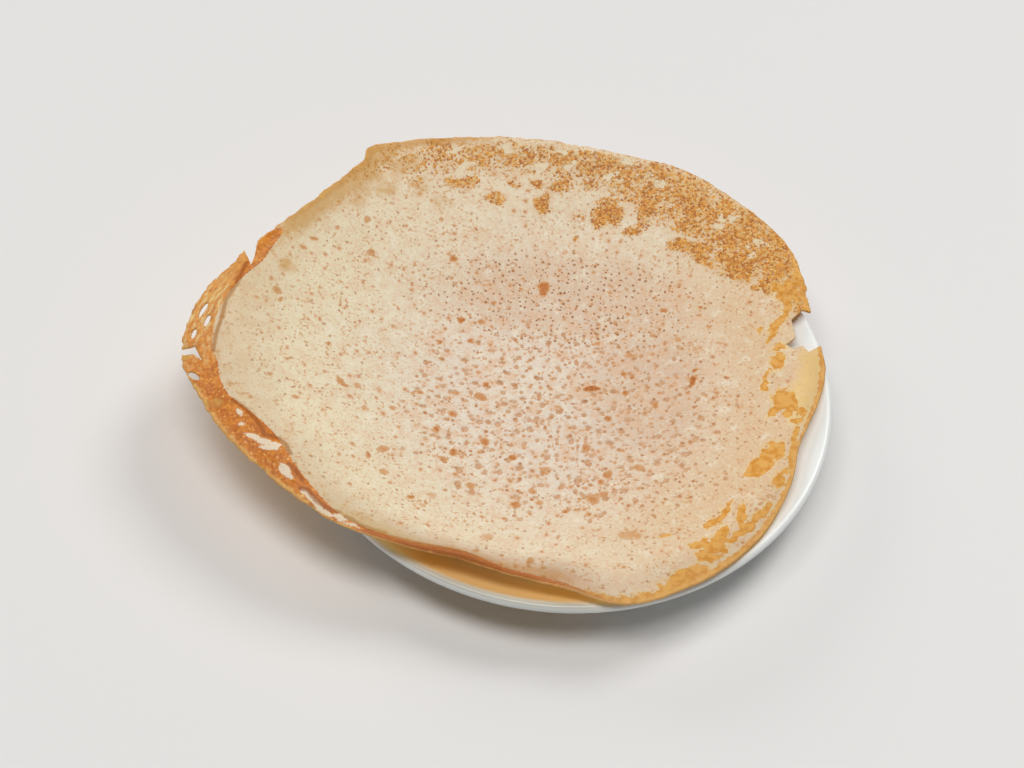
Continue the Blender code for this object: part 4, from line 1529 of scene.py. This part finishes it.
def add_pits(painter):
    """Tan hollows where bubbles burst, each darker along its front."""
    uneven = painter.wobbled(0.9 * MM, 0.5 * MM)
    present = 0.66 * painter.field("pocks")
    pock = painter.dots(uneven, POCK_SPACING, present, POCK_RADII, shift=8.1)
    painter.coat(pock.rise(0.0, 0.35) * 0.7, PIT_TAN)
    tone = painter.grain(2.6 * MM, detail=2, shift=7.7)
    painter.coat(pock.rise(0.3, 0.7) * tone.rise(0.4, 0.6) * 0.8, SPECK_BROWN)
    for name in ("pit", "pore"):
        ragged = painter.field(name) + 0.5 * (painter.grain(0.8 * MM, detail=2, shift=3.7) - 0.5)
        painter.coat(ragged.rise(0.08, 0.5) * (0.45 + 0.65 * tone), PIT_TAN)
        front = (painter.field(name + "_front") * ragged.rise(0.1, 0.4)).rise(0.15, 0.7)
        painter.coat(front * (0.5 + 0.8 * tone.rise(0.35, 0.65)), PIT_BROWN)
    return pock


def add_marks(painter):
    """Single scorched marks with ragged edges, darkest in the middle."""
    mark = painter.field("mark")
    rough = painter.grain(1.0 * MM, detail=2, shift=2.2) - 0.5
    painter.coat((mark + 0.35 * rough).rise(0.1, 0.4) * 0.8, SPECK_TAN)
    painter.coat((mark + 0.8 * rough).rise(0.4, 0.8) * 0.9, MARK_BROWN)
    painter.coat((mark + 1.3 * rough).rise(0.82, 1.12) * 0.55, SPECK_DARK)


# %% Finishes of the crust
def add_speckled_crust(painter):
    """A granular mosaic: the share of its cells that are brown follows the field."""
    cells, dice = painter.cells(painter.wobbled(1.2 * MM, 0.6 * MM), CRUST_CELL, "3D")
    drift = painter.grain(6.5 * MM, detail=3, shift=5.5) - 0.5
    ragged = painter.grain(2.0 * MM, detail=3, shift=8.8) - 0.5
    flake = painter.field("pale") + 1.3 * (painter.grain(1.8 * MM, detail=3, shift=4.9) - 0.5)
    flake = flake.rise(0.35, 0.9)
    painter.coat(flake * 0.6, CRUST_PALE)
    browned = painter.field("speckled")
    painter.coat(browned * (1 - flake) * 0.5, CRUST_TINT)
    density = browned * (1.15 + (1.5 - browned) * (3.0 * drift + 1.9 * ragged)) - 0.6 * flake
    cover = (density - 0.15 - 0.7 * dice).rise(-0.02, 0.1)
    tone = painter.grain(0.9 * MM, detail=2, shift=6.1)
    dark = (0.6 * tone + 0.6 * dice.also("Green")).rise(0.35, 0.85)
    brown = painter.mix(dark, CRUST_BROWN, CRUST_DARK)
    glint = (dice.also("Blue") + 0.2 * tone - 0.16 * browned.rise(0.8, 1.0)).rise(0.72, 0.86)
    painter.coat(cover * 0.92, painter.mix(glint * 0.6, brown, CRUST_GLINT))
    return cover, cells


def add_gold(painter):
    """Smooth golden patches with a pale halo, and a mottled golden film."""
    thin = painter.field("film") * (0.55 + 0.8 * painter.grain(1.5 * MM, detail=3, shift=6.6))
    painter.coat(thin * 0.85, FILM)
    shape = painter.field("golden") + painter.grain(1.9 * MM, detail=5, shift=1.4) - 0.5
    painter.coat(shape.rise(0.28, 0.44) * 0.55, GOLD_HALO)
    tone = painter.grain(2.0 * MM, detail=4, shift=9.2) + 0.25 * (shape - 0.62)
    cover = shape.rise(0.42, 0.54)
    painter.coat(cover * 0.92, painter.mix(tone.rise(0.4, 0.6), GOLD, GOLD_LIGHT))
    return cover


def add_rim(painter):
    """Mustard towards the north-west edge, deepest in patches; the band along the rim is partly painted
    shade on the steep wall.
    """
    patch = painter.grain(3.5 * MM, detail=4, shift=3.3)
    olive = (painter.field("olive") * (2.6 * patch - 0.2)).rise(0.1, 1.0)
    painter.coat(olive * 0.75, OLIVE_AND_PAINTED_SHADE)
    broken = 0.3 + 1.5 * painter.grain(1.5 * MM, detail=3, shift=5.9)
    line = (painter.field("rim_line") * broken).rise(0.1, 0.9)
    painter.coat(line * 0.75, RIM_OCHRE)


def lip_colour(painter, fine):
    """Orange crust, and strands over a clear film where the lip is lace."""
    inward = painter.field("from_rim")
    broad = painter.grain(3.0 * MM, detail=3, shift=7.3)
    orange = painter.mix((0.6 * fine + 0.5 * broad).rise(0.44, 0.66), LIP_ORANGE, LIP_DARK)
    orange = painter.mix((1 - fine.rise(0.3, 0.42)) * 0.7, orange, LIP_YELLOW)
    ragged = inward + 2.2 * (painter.grain(2.2 * MM, detail=2, shift=1.1) - 0.5)
    lower = painter.mix(0.6 - 0.6 * ragged.rise(0.1, 1.3), orange, LIP_YELLOW)
    feeds = {"X": painter.field("along_rim") / 3.4 + inward / 4.0, "Y": inward / 0.75}
    route = painter.node("ShaderNodeCombineXYZ", {}, feeds)
    strand = painter.node("ShaderNodeTexNoise", {}, {"Vector": route, "Scale": 1.0, "Detail": 4})
    by_crest = 1 - painter.field("from_crest").rise(0.8, 3.0)
    knitted = (strand + 0.3 * by_crest + 0.12 * painter.field("spike")).rise(0.41, 0.51)
    strands = painter.mix(0.6 - 0.5 * by_crest, orange, LIP_STRANDS)
    upper = painter.mix(knitted, LIP_FILM, strands)
    upper = painter.mix(strand.rise(0.56, 0.68) * 0.7, upper, LIP_SEAM)
    lace = painter.field("lace")
    return painter.mix(lace, lower, upper), strand, lace * (1 - knitted)


def add_lip(painter):
    """The turned-down edge: its crust and strands, windows, a brown front and dark creases."""
    fine = painter.grain(1.0 * MM, detail=4, shift=2.9)
    lip, strand, bare_film = lip_colour(painter, fine)
    window = (painter.field("window") + 0.7 * (fine - 0.5)).rise(0.26, 0.46)
    covered = (painter.field("lip") + 0.9 * (fine - 0.5)).rise(0.35, 0.6)
    painter.coat(covered * 0.97, painter.mix(window, lip, LIP_WINDOW))
    inward = painter.field("from_rim")
    front = painter.mix(0.8 - 0.8 * inward.rise(0.3, 0.9), FRONT_BROWN, FRONT_PALE)
    browned = (painter.field("front") + 1.6 * (fine - 0.5)).rise(0.2, 0.9) * inward.rise(-0.5, 0.0)
    painter.coat(browned * 0.95, front)
    seam = 1 - (painter.field("seam") + fine - 0.5).rise(0.4, 1.1)
    painter.coat(seam * 0.8, LIP_SEAM)
    crusted = covered * (1 - 0.4 * window) * (1 - 0.8 * bare_film)
    return strand, crusted.larger(browned * 0.2)


def add_underside(painter):
    """A pale golden underside with toasted patches."""
    patch = painter.grain(11 * MM, detail=5, shift=0.7)
    painter.coat(painter.field("under"), painter.mix(patch.rise(0.35, 0.7), UNDER_GOLD, UNDER_BROWN))


# %% [markdown]
# The thin rim lets light through and the thick middle hardly does. Subsurface scattering could
# do that, but it is meant for solid bodies and blurs a sheet's pattern. Here a share of the
# light comes out on the other side of the surface instead: the top gives it a cream tint and the
# underside a golden one, which also warms the shadow on the plate.

# %% The crust
UNDER_CLEAR = 0.94
CRUST_BLOCKS = 0.9
GOLD_BLOCKS = 0.4
CRUMB_ROUGHNESS = 0.66
CRISP_SMOOTHER = 0.26
CRUST_SPECULAR = 0.3

# How high or deep the bump makes the crumb's fuzz, the crust's grains and the rest.
FUZZ_HEIGHT = 0.12 * MM
GRAIN_HEIGHT = 0.22 * MM
STRAND_HEIGHT = 0.25 * MM
PRICK_DEPTH = 0.12 * MM
POCK_DEPTH = 0.28 * MM


def let_light_through(painter, shader, dense):
    """Mix the shader with the light that comes through, less where dense crust blocks it."""
    under = painter.field("under")
    clear = painter.field("clear") * (1 - CRUST_BLOCKS * dense * (1 - under))
    clear = clear + (UNDER_CLEAR - clear) * under
    top_glow = painter.node("ShaderNodeBsdfTranslucent", {}, {"Color": TOP_GLOW})
    under_glow = painter.node("ShaderNodeBsdfTranslucent", {}, {"Color": UNDER_GLOW})
    glow = painter.node("ShaderNodeMixShader", {}, {0: under, 1: top_glow, 2: under_glow})
    solid = Wire(painter, shader.outputs[0])
    both = painter.node("ShaderNodeMixShader", {}, {0: clear, 1: solid, 2: glow})
    painter.feed(painter.tree.nodes["Material Output"], {"Surface": both})


def make_crust():
    material, shader = new_material("baked_batter")
    painter = Painter(material.node_tree, CRUMB)
    middle = add_crumb(painter)
    prick = add_specks(painter, middle)
    pock = add_pits(painter)
    add_marks(painter)
    browned, cells = add_speckled_crust(painter)
    add_rim(painter)
    gilded = add_gold(painter)
    strand, crusted = add_lip(painter)
    add_underside(painter)
    crisp = browned.larger(gilded).larger(crusted)
    fuzz = painter.grain(0.8 * MM, detail=3, shift=0.4)
    grains = (1 - cells.rise(0.05, 0.6)) * browned
    height = FUZZ_HEIGHT * fuzz + GRAIN_HEIGHT * grains + STRAND_HEIGHT * strand * painter.field("lip")
    height = height - PRICK_DEPTH * prick - POCK_DEPTH * pock
    relief = painter.node("ShaderNodeBump", {}, {"Strength": 1.0, "Distance": 1.0, "Height": height})
    painter.feed(shader, {
        "Base Color": painter.colour, "Roughness": CRUMB_ROUGHNESS - CRISP_SMOOTHER * crisp,
        "Specular IOR Level": CRUST_SPECULAR, "Normal": relief,
    })
    let_light_through(painter, shader, browned.larger(crusted).larger(gilded * GOLD_BLOCKS))
    return material


baked_batter = make_crust()
print("crust:", len(baked_batter.node_tree.nodes), "nodes")

# %% [markdown]
# With the material made, the trees run. The pits come first, then the smaller pores between
# them, and last the blisters, which are raised instead of pressed in.

# %% Press the pits and raise the blisters
PIT_DEPTH_SHARE = 0.62
PIT_FLOOR_SHARE = 0.3
TOP_SIDE = 0.3

# Spots that Geometry Nodes scatter: a height share below 0 presses them in.
SCATTERS = {
    "Pores": {
        "Field": "pore_field", "Spacing": 4.4 * MM, "Smallest": 0.7 * MM, "Largest": 1.3 * MM,
        "Height share": -0.42, "Floor share": 0.1, "Seed": 3,
        "Stored as": "pore", "Front stored as": "pore_front",
    },
    "Blisters": {
        "Field": "blister_field", "Spacing": 1.7 * MM, "Smallest": 0.6 * MM, "Largest": 1.1 * MM,
        "Height share": 0.3, "Floor share": 0.0, "Seed": 8,
        "Stored as": "blister", "Front stored as": "blister_front",
    },
}


def store_spot_fields(mesh):
    """How thick pores and blisters may lie: pores over the spongy middle, blisters north-east."""
    places = Places(mesh)
    top_side = places.depth < TOP_SIDE
    in_front = 1 - smooth_step(reach_of(places.plan, *PORE_ZONE), 0.6, 1.2)
    crusted = np.maximum(places.belt(0.5, 1), patches(places.plan, BROWN_OVALS, 0.3))
    store(mesh, "pore_field", top_side * in_front)
    store(mesh, "blister_field", top_side * crusted)


def dress_hopper():
    store_spot_fields(hopper.data)
    run_tree(hopper, make_pit_tree(), {
        "Spots": pit_cloud, "Depth share": PIT_DEPTH_SHARE, "Floor share": PIT_FLOOR_SHARE,
        "Crust": baked_batter,
    })
    for name, values in SCATTERS.items():
        run_tree(hopper, make_scatter_tree(name), {**values, "Crust": baked_batter})
    hopper.data.shade_smooth()
    bpy.data.objects.remove(pit_cloud)


dress_hopper()
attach(hopper, "root")
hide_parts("hopper")
triangles = sum(len(face.vertices) - 2 for face in hopper.data.polygons)
print("hopper:", triangles, "triangles")
